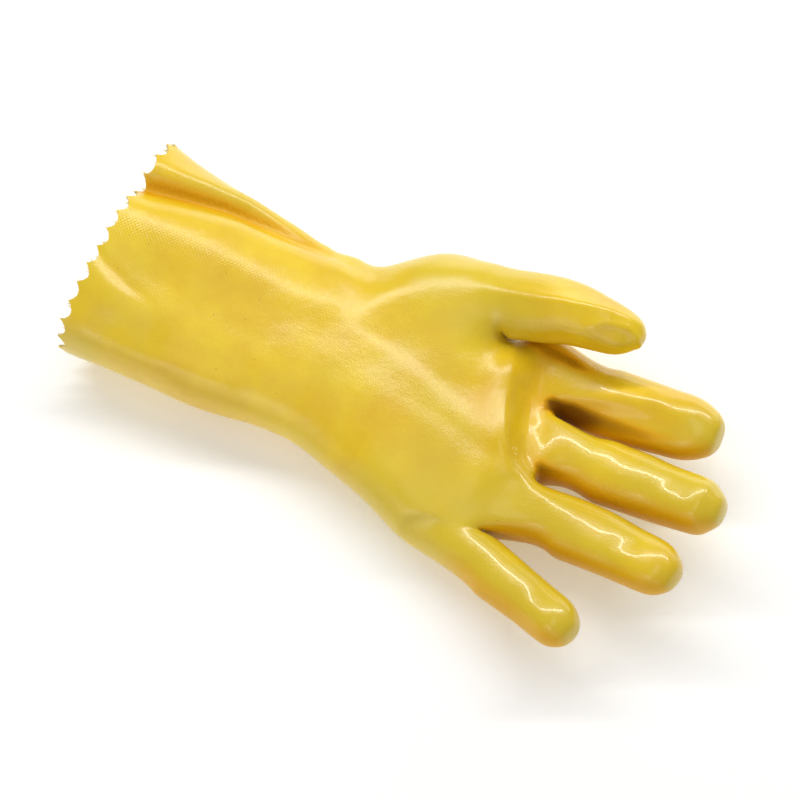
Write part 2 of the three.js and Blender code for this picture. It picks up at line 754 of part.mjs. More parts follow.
// Adds the inside, one wall away from the outside, and the cut edge between them
function closed(points, directions, triangles, rim, dropped) {
  const mitre = mitres(points, directions, triangles);
  const renamed = new Map();
  const outer = [];
  const inner = [];
  points.forEach((point, i) => {
    if (!dropped.has(i)) {
      renamed.set(i, outer.length);
      outer.push(point);
      inner.push(point.map((value, c) => value - WALL * mitre[i] * directions[i][c]));
    }
  });
  const shift = outer.length;
  const faces = [];
  for (const triangle of triangles) {
    const [a, b, c] = triangle.map((i) => renamed.get(i));
    faces.push([a, b, c], [a + shift, c + shift, b + shift]);
  }
  rim.forEach((_, i) => {
    const [a, b] = [renamed.get(rim[i]), renamed.get(rim[(i + 1) % rim.length])];
    faces.push([b, a, a + shift], [b, a + shift, b + shift]);
  });
  return { points: [...outer, ...inner], faces };
}

function gloveMesh() {
  const { points, faces } = shell();
  const geometry = new THREE.BufferGeometry();
  geometry.setAttribute("position", new THREE.Float32BufferAttribute(points.flat(), 3));
  geometry.setIndex(faces.flat());
  geometry.computeBoundingBox();
  const { min, max } = geometry.boundingBox;
  geometry.translate(-(min.x + max.x) / 2, -(min.y + max.y) / 2, -min.z);
  geometry.computeVertexNormals();
  const coating = new THREE.MeshStandardMaterial({ color: 0xf0c526, roughness: 0.28, metalness: 0 });
  const mesh = new THREE.Mesh(geometry, coating);
  mesh.name = "glove_shell";
  return mesh;
}

const glove = new THREE.Group();
glove.name = "pvc_coated_work_glove";
glove.add(gloveMesh());

export default glove;
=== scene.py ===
"""Pvc coated work glove: a dipped gauntlet over a bonded knit, lying with its palm up."""
import logging
import math
from dataclasses import dataclass, field
from enum import Enum

import bpy
import numpy as np
from bpy.types import Material, Mesh, Node, NodeTree, Object
from bpy.types import NodeSocket as Socket
from mathutils import Matrix, Vector


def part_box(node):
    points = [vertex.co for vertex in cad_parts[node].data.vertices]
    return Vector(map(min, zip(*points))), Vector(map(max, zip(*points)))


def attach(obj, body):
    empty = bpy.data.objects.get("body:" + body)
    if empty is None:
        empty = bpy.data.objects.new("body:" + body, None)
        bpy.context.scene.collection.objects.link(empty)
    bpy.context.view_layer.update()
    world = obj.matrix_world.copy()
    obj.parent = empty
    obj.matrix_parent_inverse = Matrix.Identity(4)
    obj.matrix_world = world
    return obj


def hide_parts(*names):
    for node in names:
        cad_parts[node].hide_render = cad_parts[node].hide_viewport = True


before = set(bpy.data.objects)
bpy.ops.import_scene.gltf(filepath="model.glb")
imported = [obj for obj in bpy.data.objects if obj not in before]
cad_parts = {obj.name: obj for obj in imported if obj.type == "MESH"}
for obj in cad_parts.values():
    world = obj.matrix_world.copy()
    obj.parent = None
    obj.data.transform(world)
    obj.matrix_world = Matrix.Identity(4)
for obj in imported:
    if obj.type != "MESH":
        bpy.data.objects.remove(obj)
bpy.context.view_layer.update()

log = logging.getLogger("glove")
MM = 0.001
THUMB = 3        # channel of a cage point that holds the thumb's share


# Sizes and tables of the form. Lengths in mm, shares of the named sizes, degrees.

@dataclass(frozen=True)
class Sizes:
    """Driving sizes of the glove in millimetres."""

    length: float = 300.0
    cuff_width: float = 112.0
    cuff_height: float = 56.0
    palm_width: float = 112.0
    palm_height: float = 34.0
    wall: float = 1.4
    coat: float = 0.85
    tooth_depth: float = 3.4
    teeth: int = 30
    settle: float = 1.6
    columns: int = 20
    rim_split: int = 3
    roundness: float = 2.3
    mitre_limit: float = 1.6


@dataclass(frozen=True)
class Section:
    """One section of the sleeve or the palm."""

    at: float
    shift: float
    high: float
    wide: float
    deep: float
    spread: float
    knuckle: float = 0.0
    lean: float = 0.0


@dataclass(frozen=True)
class Finger:
    """One finger that grows out of the knuckle line."""

    name: str
    crown: float
    at: float
    side: float
    high: float
    yaw: float
    long: float
    wide: float
    thick: float
    taper: float
    pitch: float
    bend: float
    curl: float
    sway: float
    roll: float


@dataclass(frozen=True)
class ThumbSection:
    """One section of the thumb, across the direction it runs in."""

    at: float
    side: float
    high: float
    wide: float
    thick: float
    roll: float
    toward: tuple[float, float, float]


class Part(Enum):
    """What a stroke lies on."""

    HAND = 0
    THUMB = 1


@dataclass(frozen=True)
class Stroke:
    """A fold, dent or ridge along a path of (at, side, reach mm, rise mm)."""

    name: str
    on: Part
    path: tuple[tuple[float, float, float, float], ...]


SLEEVE = (
    Section(0.0, 0.018, 0.491, 0.988, 1.0, 0, lean=1.8),
    Section(0.0433, -0.001, 0.482, 0.944, 0.979, 0, lean=3),
    Section(0.09, -0.007, 0.468, 0.91, 0.95, 0, lean=1.2),
    Section(0.1433, -0.017, 0.45, 0.889, 0.907, 0),
    Section(0.1967, -0.027, 0.429, 0.86, 0.857, 0),
    Section(0.25, -0.029, 0.407, 0.824, 0.814, 0),
    Section(0.2967, -0.025, 0.393, 0.799, 0.779, 0.2),
    Section(0.34, -0.015, 0.382, 0.815, 0.75, 0.6),
)
PALM = (
    Section(0.3867, -0.004, 0.612, 0.855, 1.2, 1, 0.1),
    Section(0.4867, -0.042, 0.576, 0.894, 1.129, 1, 0.4),
    Section(0.5933, -0.101, 0.547, 0.922, 1.071, 1, 0.8),
    Section(0.6333, -0.111, 0.524, 0.958, 1.035, 0.3, 0.95),
)
# Angle of a column of the palm side at the thumb's root, and how firmly it is held
SPREAD = ((-14, 1), (30, 1), (73, 1), (86, 1), (97, 0.8), (109, 0.5), (123, 0.2))
THUMB_FIRST = 8         # the ring where the thumb's patch begins
THUMB_PATCH = 2         # rows and columns of faces in that patch
# The knuckle line, in the order of the fingers: at, side and rise of its two edges and three webs
KNUCKLES = ((0.66, 0.41, 0.62), (0.6867, 0.121, 0.86), (0.7163, -0.17, 0.86),
            (0.6767, -0.452, 0.72), (0.6, -0.6012, 0.5))
KNUCKLE_HIGH = 0.5
KNUCKLE_DEEP = 0.97
KNUCKLE_INSET = 0.036     # how far the outer crowns stand in from the edges
KNUCKLE_MEAN = 0.667      # where the knuckle line lies on the whole
KNUCKLE_LEAD = 0.95       # how closely the palm follows its slant
CROWN_BACK_MM = 1.0
BACK_OF_HAND_MM = 4.0     # how far the knuckle line lies back on the underside
WEB_FORWARD_MM = 0.5
FINGERS = (
    Finger("index", 0.95, 0.6785, 0.246, 0.53, 1.48, 0.2725, 0.283, 0.232, 0.92, 4, 10, 8, -3.5, 20),
    Finger("middle", 1, 0.7, -0.026, 0.545, -0.6, 0.3007, 0.246, 0.232, 0.94, 6, 10, 8, -3.5, 8),
    Finger("ring", 0.97, 0.6963, -0.2858, 0.56, -4, 0.2833, 0.257, 0.232, 0.86, 8, 10, 8, -8, 0),
    Finger("little", 0.78, 0.6433, -0.5098, 0.53, -17.68, 0.2373, 0.2092, 0.205, 0.888, 6, 8, 8, -5.9, -8),
)
FINGER_STATIONS = (0.2, 0.32, 0.44, 0.57, 0.7)
FINGER_NECK = 0.94
FINGER_SIDES = 8
FINGER_ROUNDNESS = 2.2
FINGER_STEPS = 60
# Stretches of a finger, in shares of its length, over which it bends, curls, sways and tapers
FINGER_BEND = (0.25, 0.5)
FINGER_CURL = (0.6, 0.8)
FINGER_SWAY = (0.3, 0.9)
FINGER_TAPER = (0.3, 0.85)
# Sections near a tip: back from it in half widths, and the share of the width kept
TIP_STATIONS = ((0.95, 0.985), (0.44, 0.8), (0.15, 0.5))
THUMB_ROWS = (
    ThumbSection(0.5633, 0.418, 1.02, 0.35, 0.28, -12, (0.85, 0.42, 0.32)),
    ThumbSection(0.6, 0.43, 1.15, 0.301, 0.262, -6, (0.97, 0.12, 0.22)),
    ThumbSection(0.64, 0.448, 1.275, 0.273, 0.25, 0, (0.97, 0.06, 0.22)),
    ThumbSection(0.68, 0.455, 1.385, 0.242, 0.229, 0, (0.97, 0, 0.2)),
    ThumbSection(0.7233, 0.442, 1.48, 0.2052, 0.196, 0, (0.97, -0.04, 0.2)),
    ThumbSection(0.761, 0.436, 1.54, 0.165, 0.139, 0, (0.97, -0.1, 0.2)),
    ThumbSection(0.7803, 0.439, 1.565, 0.082, 0.079, 0, (0.97, -0.1, 0.2)),
)
THUMB_REACH = 0.45      # how far its first ring stands out toward the first section
THUMB_SWELL = (0.0, 0.074, 0.01)
THUMB_TIP = (0.787, 0.4375, 1.574)

FOLDS = (
    Stroke("sleeve valley", Part.HAND, (
        (-0.03, 0.235, 10, -8.5), (0.02, 0.255, 9, -8.5), (0.087, 0.3, 8, -7.5),
        (0.16, 0.335, 6.5, -6), (0.25, 0.338, 5, -3.5), (0.335, 0.328, 4, -1.2))),
    Stroke("upper lobe", Part.HAND, (
        (-0.03, 0.45, 8, 1.5), (0.08, 0.45, 8, 2), (0.17, 0.42, 7, 2.5), (0.28, 0.385, 6, 2))),
    Stroke("lower lobe", Part.HAND, ((-0.03, 0.06, 12, 2), (0.144, 0.08, 11, 2), (0.33, 0.09, 9, 1.2))),
    Stroke("finger roots hollow", Part.HAND, (
        (0.66, 0.22, 7, -1.5), (0.665, 0.14, 7, -2.5), (0.685, 0.015, 7, -2.5), (0.7, -0.13, 6, -1.5))),
    Stroke("palm crest", Part.HAND, (
        (0.6, 0.3, 8, 1.5), (0.62, 0.2, 8, 1.8), (0.635, 0.043, 7, 1.5), (0.657, -0.12, 6, 1.5),
        (0.687, -0.2, 6, 1.2), (0.738, -0.253, 6, 1), (0.797, -0.279, 6, 0.5))),
    Stroke("thumb ridge", Part.THUMB, (
        (0.54, 0.4, 6, 0.6), (0.63, 0.42, 5, 1), (0.71, 0.445, 5, 1), (0.765, 0.46, 4, 0.5))),
)
# Finer creases, dents and ridges that the solids leave to the looks
CREASES = (
    Stroke("valley line", Part.HAND, (
        (-0.01, 0.225, 3, -1.5), (0.05, 0.262, 3, -1.5), (0.12, 0.31, 2.5, -1.3),
        (0.2, 0.335, 2.2, -1), (0.3, 0.33, 2, -0.5))),
    Stroke("thumb edge", Part.THUMB, (
        (0.54, 0.41, 3, 0.5), (0.63, 0.425, 2.4, 1), (0.71, 0.452, 2.4, 1.1), (0.77, 0.47, 2.4, 0.4))),
    Stroke("palm fill", Part.HAND, (
        (0.4, 0.1, 9, 0.6), (0.48, 0.08, 10, 1), (0.56, 0.1, 10, 1.4), (0.61, 0.16, 8, 1.5))),
    Stroke("upper crest", Part.HAND, (
        (-0.02, 0.31, 5, 2.4), (0.087, 0.362, 5, 2.6), (0.16, 0.392, 4.5, 2.4),
        (0.25, 0.388, 4, 1.8), (0.335, 0.365, 3.5, 0.9))),
    Stroke("index ridge", Part.HAND, (
        (0.7, 0.17, 3, 0.3), (0.7181, 0.19, 3.5, 0.9), (0.7766, 0.243, 3.5, 1),
        (0.8401, 0.275, 3.5, 0.9), (0.888, 0.262, 3.5, 0.4))),
    Stroke("index flank", Part.HAND, (
        (0.715, 0.13, 4, -0.6), (0.7747, 0.165, 4.5, -1.3),
        (0.8357, 0.185, 4.5, -1.3), (0.885, 0.185, 4, -0.5))),
    Stroke("middle ridge", Part.HAND, (
        (0.7, 0.085, 3, 0.4), (0.7131, 0.07, 3, 0.8), (0.7655, 0.045, 3, 0.6), (0.8194, 0.02, 3, 0.2))),
    Stroke("ring tip dimple", Part.HAND, ((0.868, -0.335, 4, -0.4), (0.885, -0.325, 4, -0.4))),
    Stroke("ring tip ridge", Part.HAND, (
        (0.86, -0.3, 3.6, 0.1), (0.885, -0.285, 3.6, 0.15), (0.903, -0.32, 3.6, 0.15))),
    Stroke("middle tip flat", Part.HAND, ((0.9, -0.03, 4, -0.7), (0.92, -0.05, 4, -0.7))),
    Stroke("thumb pad", Part.THUMB, ((0.735, 0.368, 4.5, -1.3), (0.762, 0.38, 4.5, -1.3))),
    Stroke("thumb pad rim", Part.THUMB, (
        (0.706, 0.372, 1.6, 0.5), (0.728, 0.41, 1.6, 0.8), (0.76, 0.428, 1.6, 0.9),
        (0.786, 0.405, 1.6, 0.9), (0.787, 0.365, 1.6, 0.7), (0.768, 0.342, 1.6, 0.3))),
    Stroke("thumb upper dent", Part.THUMB, (
        (0.56, 0.53, 6, -0.9), (0.63, 0.535, 6, -1.1), (0.7, 0.5, 5, -0.6))),
    Stroke("thenar crease", Part.HAND, ((0.34, 0.325, 4, -1), (0.4, 0.315, 4.5, -1), (0.46, 0.34, 5, -0.5))),
    Stroke("rim crease", Part.HAND, (
        (-0.002, -0.12, 2.5, -0.9), (0.034, -0.165, 2.8, -1),
        (0.0685, -0.2, 3, -0.8), (0.11, -0.22, 3, -0.3))),
    Stroke("rim crease shoulder", Part.HAND, (
        (-0.002, -0.175, 4, 0.3), (0.034, -0.215, 4, 0.35), (0.075, -0.245, 4.5, 0.25))),
    Stroke("sleeve flat", Part.HAND, (
        (0.05, -0.12, 9, -0.9), (0.15, -0.18, 11, -1.2), (0.26, -0.16, 10, -0.8))),
    Stroke("ulnar edge", Part.HAND, ((0.03, -0.42, 4, 0.6), (0.143, -0.4, 4, 0.9), (0.26, -0.36, 4, 0.5))),
    Stroke("ulnar dent", Part.HAND, ((0.01, -0.33, 7, -1.2), (0.06, -0.36, 8, -1.6), (0.12, -0.33, 8, -0.8))),
    Stroke("finger roots", Part.HAND, (
        (0.66, 0.29, 7, -1.6), (0.672, 0.14, 8.5, -3), (0.686, 0.02, 8.5, -3),
        (0.702, -0.1, 7, -2.2), (0.722, -0.17, 5, -0.8))),
    Stroke("palm edge", Part.HAND, (
        (0.612, 0.26, 4, 0.8), (0.62, 0.16, 4, 1.2), (0.632, 0.02, 4, 1.4),
        (0.654, -0.12, 4, 1.2), (0.685, -0.2, 4, 0.9), (0.738, -0.253, 3.5, 0.6))),
    Stroke("first web", Part.HAND, (
        (0.6, 0.36, 7, 1.5), (0.64, 0.365, 7, 2.6), (0.69, 0.365, 7, 2.2), (0.73, 0.36, 6, 1))),
    Stroke("ulnar dent by the wrist", Part.HAND, (
        (0.13, -0.315, 8, -1), (0.2, -0.31, 8, -0.9), (0.26, -0.32, 7, -0.4))),
)
# Where shade is painted into the coat's colour: the index flank, the sleeve's valley, under the thumb and at
# the finger roots; the fourth number is a share of the deepest painted shade
SHADED = (
    Stroke("index flank", Part.HAND, (
        (0.7, 0.13, 4, 0.9), (0.73, 0.135, 5, 0.9), (0.78, 0.145, 5.5, 0.62),
        (0.84, 0.15, 5, 0.5), (0.9, 0.165, 4, 0.3))),
    Stroke("valley", Part.HAND, (
        (-0.01, 0.25, 4, 0.45), (0.05, 0.285, 4.5, 0.5), (0.12, 0.325, 4.5, 0.5),
        (0.2, 0.348, 4, 0.45), (0.3, 0.34, 3, 0.3))),
    Stroke("under the thumb", Part.HAND, (
        (0.625, 0.335, 5, 0.5), (0.665, 0.325, 5, 0.55), (0.704, 0.311, 4.5, 0.6), (0.735, 0.3, 4, 0.4))),
    Stroke("finger roots", Part.HAND, ((0.66, 0.24, 6, 0.3), (0.675, 0.08, 7, 0.35), (0.7, -0.1, 6, 0.3))),
    Stroke("middle root", Part.HAND, (
        (0.722, -0.138, 4, 0.6), (0.745, -0.13, 4.5, 0.5), (0.78, -0.115, 4.5, 0.4))),
)


def mix(a: float, b: float, t: float) -> float:
    """The value a share t of the way from a to b."""
    return a + (b - a) * t


def eased(start: float, end: float, value: np.ndarray | float) -> np.ndarray | float:
    """A smooth step from 0 at start to 1 at end."""
    t = np.clip((np.asarray(value, float) - start) / (end - start), 0.0, 1.0)
    return t * t * (3 - 2 * t)


def oval(angle: float, a: float, b: float, power: float) -> tuple[float, float]:
    """A point of an oval.

    Args:
        angle: parameter of the point in radians.
        a: half its width.
        b: half its height.
        power: exponent, 2 for an ellipse and more for a squarer one.

    Returns:
        The two coordinates.
    """
    c, s = math.cos(angle), math.sin(angle)
    return (a * math.copysign(abs(c) ** (2 / power), c), b * math.copysign(abs(s) ** (2 / power), s))


def even_angles(a: float, b: float, count: int, power: float) -> np.ndarray:
    """Angles that part an oval into equal arcs.

    Args:
        a: half its width.
        b: half its height.
        count: how many arcs.
        power: exponent of the oval.

    Returns:
        The parameter at the start of each arc, in radians.
    """
    turn = np.linspace(0, 2 * np.pi, 721)
    c, s = np.cos(turn), np.sin(turn)
    x = a * np.sign(c) * np.abs(c) ** (2 / power)
    y = b * np.sign(s) * np.abs(s) ** (2 / power)
    walked = np.concatenate([[0.0], np.cumsum(np.hypot(np.diff(x), np.diff(y)))])
    return np.interp(walked[-1] * np.arange(count) / count, walked, turn)


def turned(v: np.ndarray, axis: np.ndarray, angle: float) -> np.ndarray:
    """A vector turned about a unit axis by an angle in radians."""
    along = axis * (axis @ v) * (1 - math.cos(angle))
    return v * math.cos(angle) + np.cross(axis, v) * math.sin(angle) + along


@dataclass
class Surface:
    """Points with their thumb share, and the quads between them."""

    points: np.ndarray
    quads: np.ndarray

    def edges(self) -> tuple[np.ndarray, np.ndarray, np.ndarray]:
        """Every edge once, the edge of each quad's side, and how many quads use each edge.

        Returns:
            Pairs of points, four edge numbers to each quad, and one count to each edge.
        """
        pairs = np.stack([self.quads, np.roll(self.quads, -1, axis=1)], axis=-1).reshape(-1, 2)
        found, which = np.unique(np.sort(pairs, axis=1), axis=0, return_inverse=True)
        return found, which.reshape(-1, 4), np.bincount(which.ravel(), minlength=len(found))

    def gathered(self, at: np.ndarray, values: np.ndarray) -> np.ndarray:
        """Values summed up at the points that they belong to.

        Args:
            at: a point number for each value.
            values: rows of numbers.

        Returns:
            One sum for each point of the surface.
        """
        total = np.zeros((len(self.points), values.shape[1]))
        np.add.at(total, at, values)
        return total

    def normals(self) -> np.ndarray:
        """Outward unit normals at the points.

        Returns:
            One unit vector for each point.
        """
        a, b, c, d = (self.points[self.quads[:, k], :3] for k in range(4))
        across = np.cross(c - a, d - b)
        total = self.gathered(self.quads.ravel(), np.repeat(across, 4, axis=0))
        return total / np.linalg.norm(total, axis=1)[:, None]

    def smoothed(self) -> "Surface":
        """One Catmull-Clark step, with the open rim as a smooth border.

        Returns:
            A surface with four quads for each one.
        """
        points, quads = self.points, self.quads
        edges, which, uses = self.edges()
        centres = points[quads].mean(axis=1)
        half = points[edges].mean(axis=1)
        beside = np.zeros_like(half)
        np.add.at(beside, which.ravel(), np.repeat(centres, 4, axis=0))
        rim = uses == 1
        middles = np.where(rim[:, None], half, (half + beside / 2) / 2)
        valence = np.bincount(edges.ravel(), minlength=len(points))[:, None]
        faces = np.bincount(quads.ravel(), minlength=len(points))[:, None]
        face_sum = self.gathered(quads.ravel(), np.repeat(centres, 4, axis=0))
        edge_sum = self.gathered(edges.ravel(), np.repeat(half, 2, axis=0))
        moved = (face_sum / faces + 2 * edge_sum / valence + (valence - 3) * points) / valence
        rim_sum = self.gathered(edges[rim].ravel(), np.repeat(half[rim], 2, axis=0))
        on_rim = np.unique(edges[rim])
        moved[on_rim] = rim_sum[on_rim] / 4 + points[on_rim] / 2
        middle = len(points) + len(quads) + which
        centre = np.repeat((len(points) + np.arange(len(quads)))[:, None], 4, axis=1)
        parts = np.stack([quads, middle, centre, np.roll(middle, 1, axis=1)], axis=-1)
        return Surface(np.vstack([moved, centres, middles]), parts.reshape(-1, 4))

    def landed(self) -> np.ndarray:
        """Where each point lands on the endlessly smoothed surface.

        Returns:
            The limit places, with their thumb share.
        """
        points, quads = self.points, self.quads
        edges, _, uses = self.edges()
        both = np.concatenate([edges[:, 0], edges[:, 1]])
        other = np.concatenate([edges[:, 1], edges[:, 0]])
        around = self.gathered(both, points[other])
        across = self.gathered(quads.ravel(), points[np.roll(quads, -2, axis=1).ravel()])
        n = np.bincount(edges.ravel(), minlength=len(points))[:, None]
        place = (n * n * points + 4 * around + across) / (n * (n + 5))
        rim = np.concatenate([uses == 1, uses == 1])
        rim_sum = self.gathered(both[rim], points[other[rim]])
        on_rim = np.unique(both[rim])
        place[on_rim] = (4 * points[on_rim] + rim_sum[on_rim]) / 6
        return place


class Cage:
    """The control cage of the whole outside, one quad net without a seam."""

    def __init__(self, sizes: Sizes) -> None:
        """Builds the sleeve, the palm, the fingers and the thumb.

        Args:
            sizes: driving sizes in millimetres.
        """
        self.sizes = sizes
        self.points: list[tuple[float, ...]] = []
        self.quads: list[tuple[int, ...]] = []
        knuckles = self.knuckle_ring()
        rings = []
        for rows, width, height in ((SLEEVE, sizes.cuff_width, sizes.cuff_height),
                                    (PALM, sizes.palm_width, sizes.palm_height)):
            rings += [self.added(self.section(row, width, height, knuckles)) for row in rows]
        rings.append(self.added(knuckles))
        self.join_rings(rings)
        self.grow_fingers(rings[-1])
        self.grow_thumb(rings[THUMB_FIRST:THUMB_FIRST + THUMB_PATCH + 1])

    def added(self, ring: list[tuple[float, ...]]) -> list[int]:
        """Adds points to the cage.

        Args:
            ring: points with their thumb share.

        Returns:
            Their numbers.
        """
        self.points.extend(ring)
        return list(range(len(self.points) - len(ring), len(self.points)))

    def knuckle_ring(self) -> list[tuple[float, ...]]:
        """The ring of points where the palm ends and the fingers start.

        Returns:
            Its points in order, from the thumb's side over the palm.
        """
        s = self.sizes
        high, deep = KNUCKLE_HIGH * s.palm_height, KNUCKLE_DEEP * s.palm_height / 2
        marks = [(at * s.length, side * s.palm_width) for at, side, _ in KNUCKLES]
        inset = KNUCKLE_INSET * s.palm_width
        crown = [(marks[0][0], marks[0][1] - inset, KNUCKLES[0][2])]
        for i, finger in enumerate(FINGERS):
            x0, y0 = marks[i][0], marks[i][1] - (inset if i == 0 else 0)
            x1, y1 = marks[i + 1][0], marks[i + 1][1] + (inset if i == 3 else 0)
            crown.append(((x0 + x1) / 2 - CROWN_BACK_MM, (y0 + y1) / 2, finger.crown))
            crown.append((x1, y1, KNUCKLES[i + 1][2]))
        ring = [(*marks[0], high, 0)]
        ring += [(x, y, high + deep * rise, 0) for x, y, rise in crown]
        ring.append((*marks[4], high, 0))
        ring += [(x - BACK_OF_HAND_MM, y, high - deep * rise, 0) for x, y, rise in reversed(crown)]
        return ring

    def section(self, row: Section, width: float, height: float,
                knuckles: list[tuple[float, ...]]) -> list[tuple[float, ...]]:
        """One section of the sleeve or the palm.

        Args:
            row: its shares.
            width: the named width that its shares belong to.
            height: the named height that its shares belong to.
            knuckles: the ring of the knuckle line that it leads over to.

        Returns:
            Its points in order, from the thumb's side over the palm.
        """
        s = self.sizes
        a, b = row.wide * width / 2, row.deep * height / 2
        middle = (KNUCKLES[0][1] + KNUCKLES[4][1]) / 2 * s.palm_width
        half = (KNUCKLES[0][1] - KNUCKLES[4][1]) / 2 * s.palm_width
        level = KNUCKLE_HIGH * s.palm_height
        ring = []
        for j, even in enumerate(even_angles(a, b, s.columns, s.roundness)):
            hold = SPREAD[j][1] * row.spread if j < len(SPREAD) else 0
            angle = mix(even, math.radians(SPREAD[j][0]), hold) if hold > 0 else even
            dy, dz = oval(angle, a, b, s.roundness)
            kx, ky, kz = knuckles[j][:3]
            rise = b * (kz - level) / (KNUCKLE_DEEP * s.palm_height / 2)
            share = row.knuckle * (1 - hold)
            ring.append((
                row.at * s.length + row.knuckle * (kx - KNUCKLE_MEAN * s.length) * KNUCKLE_LEAD
                + row.lean * min(0, dy / a),
                row.shift * width + mix(dy, (ky - middle) / half * a, share),
                row.high * height + mix(dz, rise, share * share), 0))
        return ring

    def join_rings(self, rings: list[list[int]]) -> None:
        """Faces between the sections, but for the patch that the thumb grows from.

        Args:
            rings: point numbers of each section, from the rim on.
        """
        for k in range(len(rings) - 1):
            for j in range(self.sizes.columns):
                if not (THUMB_FIRST <= k < THUMB_FIRST + THUMB_PATCH and j < THUMB_PATCH):
                    n = (j + 1) % self.sizes.columns
                    self.quads.append((rings[k][j], rings[k][n], rings[k + 1][n], rings[k + 1][j]))

    def grow_fingers(self, last: list[int]) -> None:
        """Grows the four fingers from the knuckle line and its webs.

        Args:
            last: point numbers of the knuckle line.
        """
        s = self.sizes
        webs = []
        for i, (at, side, _) in enumerate(KNUCKLES):
            if i in (0, 4):
                webs.append(last[0 if i == 0 else s.columns // 2])
            else:
                place = (at * s.length + WEB_FORWARD_MM, side * s.palm_width, KNUCKLE_HIGH * s.palm_height, 0)
                webs += self.added([place])
        for i, finger in enumerate(FINGERS):
            # the palm side and the underside of the knuckle line, from web to web
            loop = [last[2 * i + 1], last[2 * i + 2], last[2 * i + 3], webs[i + 1],
                    last[-3 - 2 * i], last[-2 - 2 * i], last[-1 - 2 * i], webs[i]]
            stations, tip = self.finger_stations(finger)
            self.grow(loop, [self.ring(*station, 45, 0) for station in stations], (*tip, 0))

    def grow_thumb(self, rows: list[list[int]]) -> None:
        """Grows the thumb from its patch of faces on the side of the palm.

        Args:
            rows: point numbers of the three rings that bound the patch.
        """
        s = self.sizes
        r0, r1, r2 = rows
        loop = [r0[0], r0[1], r0[2], r1[2], r2[2], r2[1], r2[0], r1[0]]
        rings = []
        for row in THUMB_ROWS:
            run = np.array(row.toward) / np.linalg.norm(row.toward)
            centre = np.array([row.at * s.length, row.side * s.palm_width, row.high * s.palm_height])
            side, rise = self.cross_frame(run, row.roll)
            rings.append(self.ring(centre, side, rise, row.wide * s.palm_width / 2,
                                   row.thick * s.palm_width / 2, -45, 1))
        swell = np.array([*THUMB_SWELL, 0]) * s.palm_width
        root = [tuple(mix(np.array(self.points[at]), np.array(rings[0][i]), THUMB_REACH) + swell)
                for i, at in enumerate(loop)]
        tip = (THUMB_TIP[0] * s.length, THUMB_TIP[1] * s.palm_width, THUMB_TIP[2] * s.palm_height, 1)
        self.grow(loop, [root, *rings], tip)

    @staticmethod
    def cross_frame(run: np.ndarray, roll: float) -> tuple[np.ndarray, np.ndarray]:
        """The side and the palm direction of a section, rolled about its run.

        Args:
            run: unit direction that the finger runs in.
            roll: turn about it in degrees.

        Returns:
            Two unit vectors across the run.
        """
        side = np.array([-run[1], run[0], 0.0])
        side /= np.linalg.norm(side)
        rise = np.cross(run, side)
        return turned(side, run, math.radians(roll)), turned(rise, run, math.radians(roll))

    def finger_stations(self, row: Finger) -> tuple[list[tuple], np.ndarray]:
        """Sections along a finger that bends at its two inner joints, and its tip.

        Args:
            row: the finger.

        Returns:
            Centre, side, rise, half width and half depth of each section, and the tip.
        """
        s = self.sizes
        length = row.long * s.length
        half, depth = row.wide * s.palm_width / 2, row.thick * s.palm_width / 2
        wanted = [(share * length, 1, FINGER_NECK if k == 0 else 1)
                  for k, share in enumerate(FINGER_STATIONS)]
        wanted += [(length - back * half, keep, 1) for back, keep in TIP_STATIONS]
        place = np.array([row.at * s.length, row.side * s.palm_width, row.high * s.palm_height])
        stations = []
        for i in range(FINGER_STEPS + 1):
            share = i / FINGER_STEPS
            pitch = math.radians(row.pitch + row.bend * eased(*FINGER_BEND, share)
                                 + row.curl * eased(*FINGER_CURL, share))
            yaw = math.radians(row.yaw + row.sway * eased(*FINGER_SWAY, share))
            level = math.cos(pitch)
            run = np.array([level * math.cos(yaw), level * math.sin(yaw), math.sin(pitch)])
            while len(stations) < len(wanted) and wanted[len(stations)][0] <= share * length + 1e-9:
                side, rise = self.cross_frame(run, row.roll)
                _, keep, neck = wanted[len(stations)]
                keep *= mix(1, row.taper, eased(*FINGER_TAPER, share))
                stations.append((place.copy(), side, rise, half * keep * neck, depth * keep))
            if i < FINGER_STEPS:
                place = place + run * (length / FINGER_STEPS)
        return stations, place

    @staticmethod
    def ring(centre: np.ndarray, side: np.ndarray, rise: np.ndarray, a: float, b: float,
             start: float, thumb: float) -> list[tuple[float, ...]]:
        """The points of a section of a finger.

        Args:
            centre: its middle.
            side: unit vector along its width.
            rise: unit vector along its depth.
            a: half its width.
            b: half its depth.
            start: angle of its first point in degrees.
            thumb: share of the thumb in its points.

        Returns:
            The points in order.
        """
        ring = []
        for i in range(FINGER_SIDES):
            u, v = oval(math.radians(start + 360 / FINGER_SIDES * i), a, b, FINGER_ROUNDNESS)
            ring.append((*(centre + side * u + rise * v), thumb))
        return ring

    def grow(self, loop: list[int], rings: list[list[tuple[float, ...]]], tip: tuple[float, ...]) -> None:
        """A tube from a loop of the cage, closed at its tip by faces that meet in one point.

        Args:
            loop: point numbers of the loop that it grows from.
            rings: its sections.
            tip: the point at its end.
        """
        ring = loop
        for section in rings:
            following = self.added(section)
            for i in range(FINGER_SIDES):
                k = (i + 1) % FINGER_SIDES
                self.quads.append((ring[i], ring[k], following[k], following[i]))
            ring = following
        centre = self.added([tip])[0]
        for i in range(0, FINGER_SIDES, 2):
            self.quads.append((ring[i], ring[i + 1], centre, ring[i - 1]))

    def surface(self) -> Surface:
        """The cage without the point that the thumb's root leaves loose.

        Returns:
            Its used points and all its quads.
        """
        quads = np.array(self.quads)
        used = np.unique(quads)
        renamed = np.zeros(len(self.points), int)
        renamed[used] = np.arange(len(used))
        return Surface(np.array(self.points, float)[used], renamed[quads])


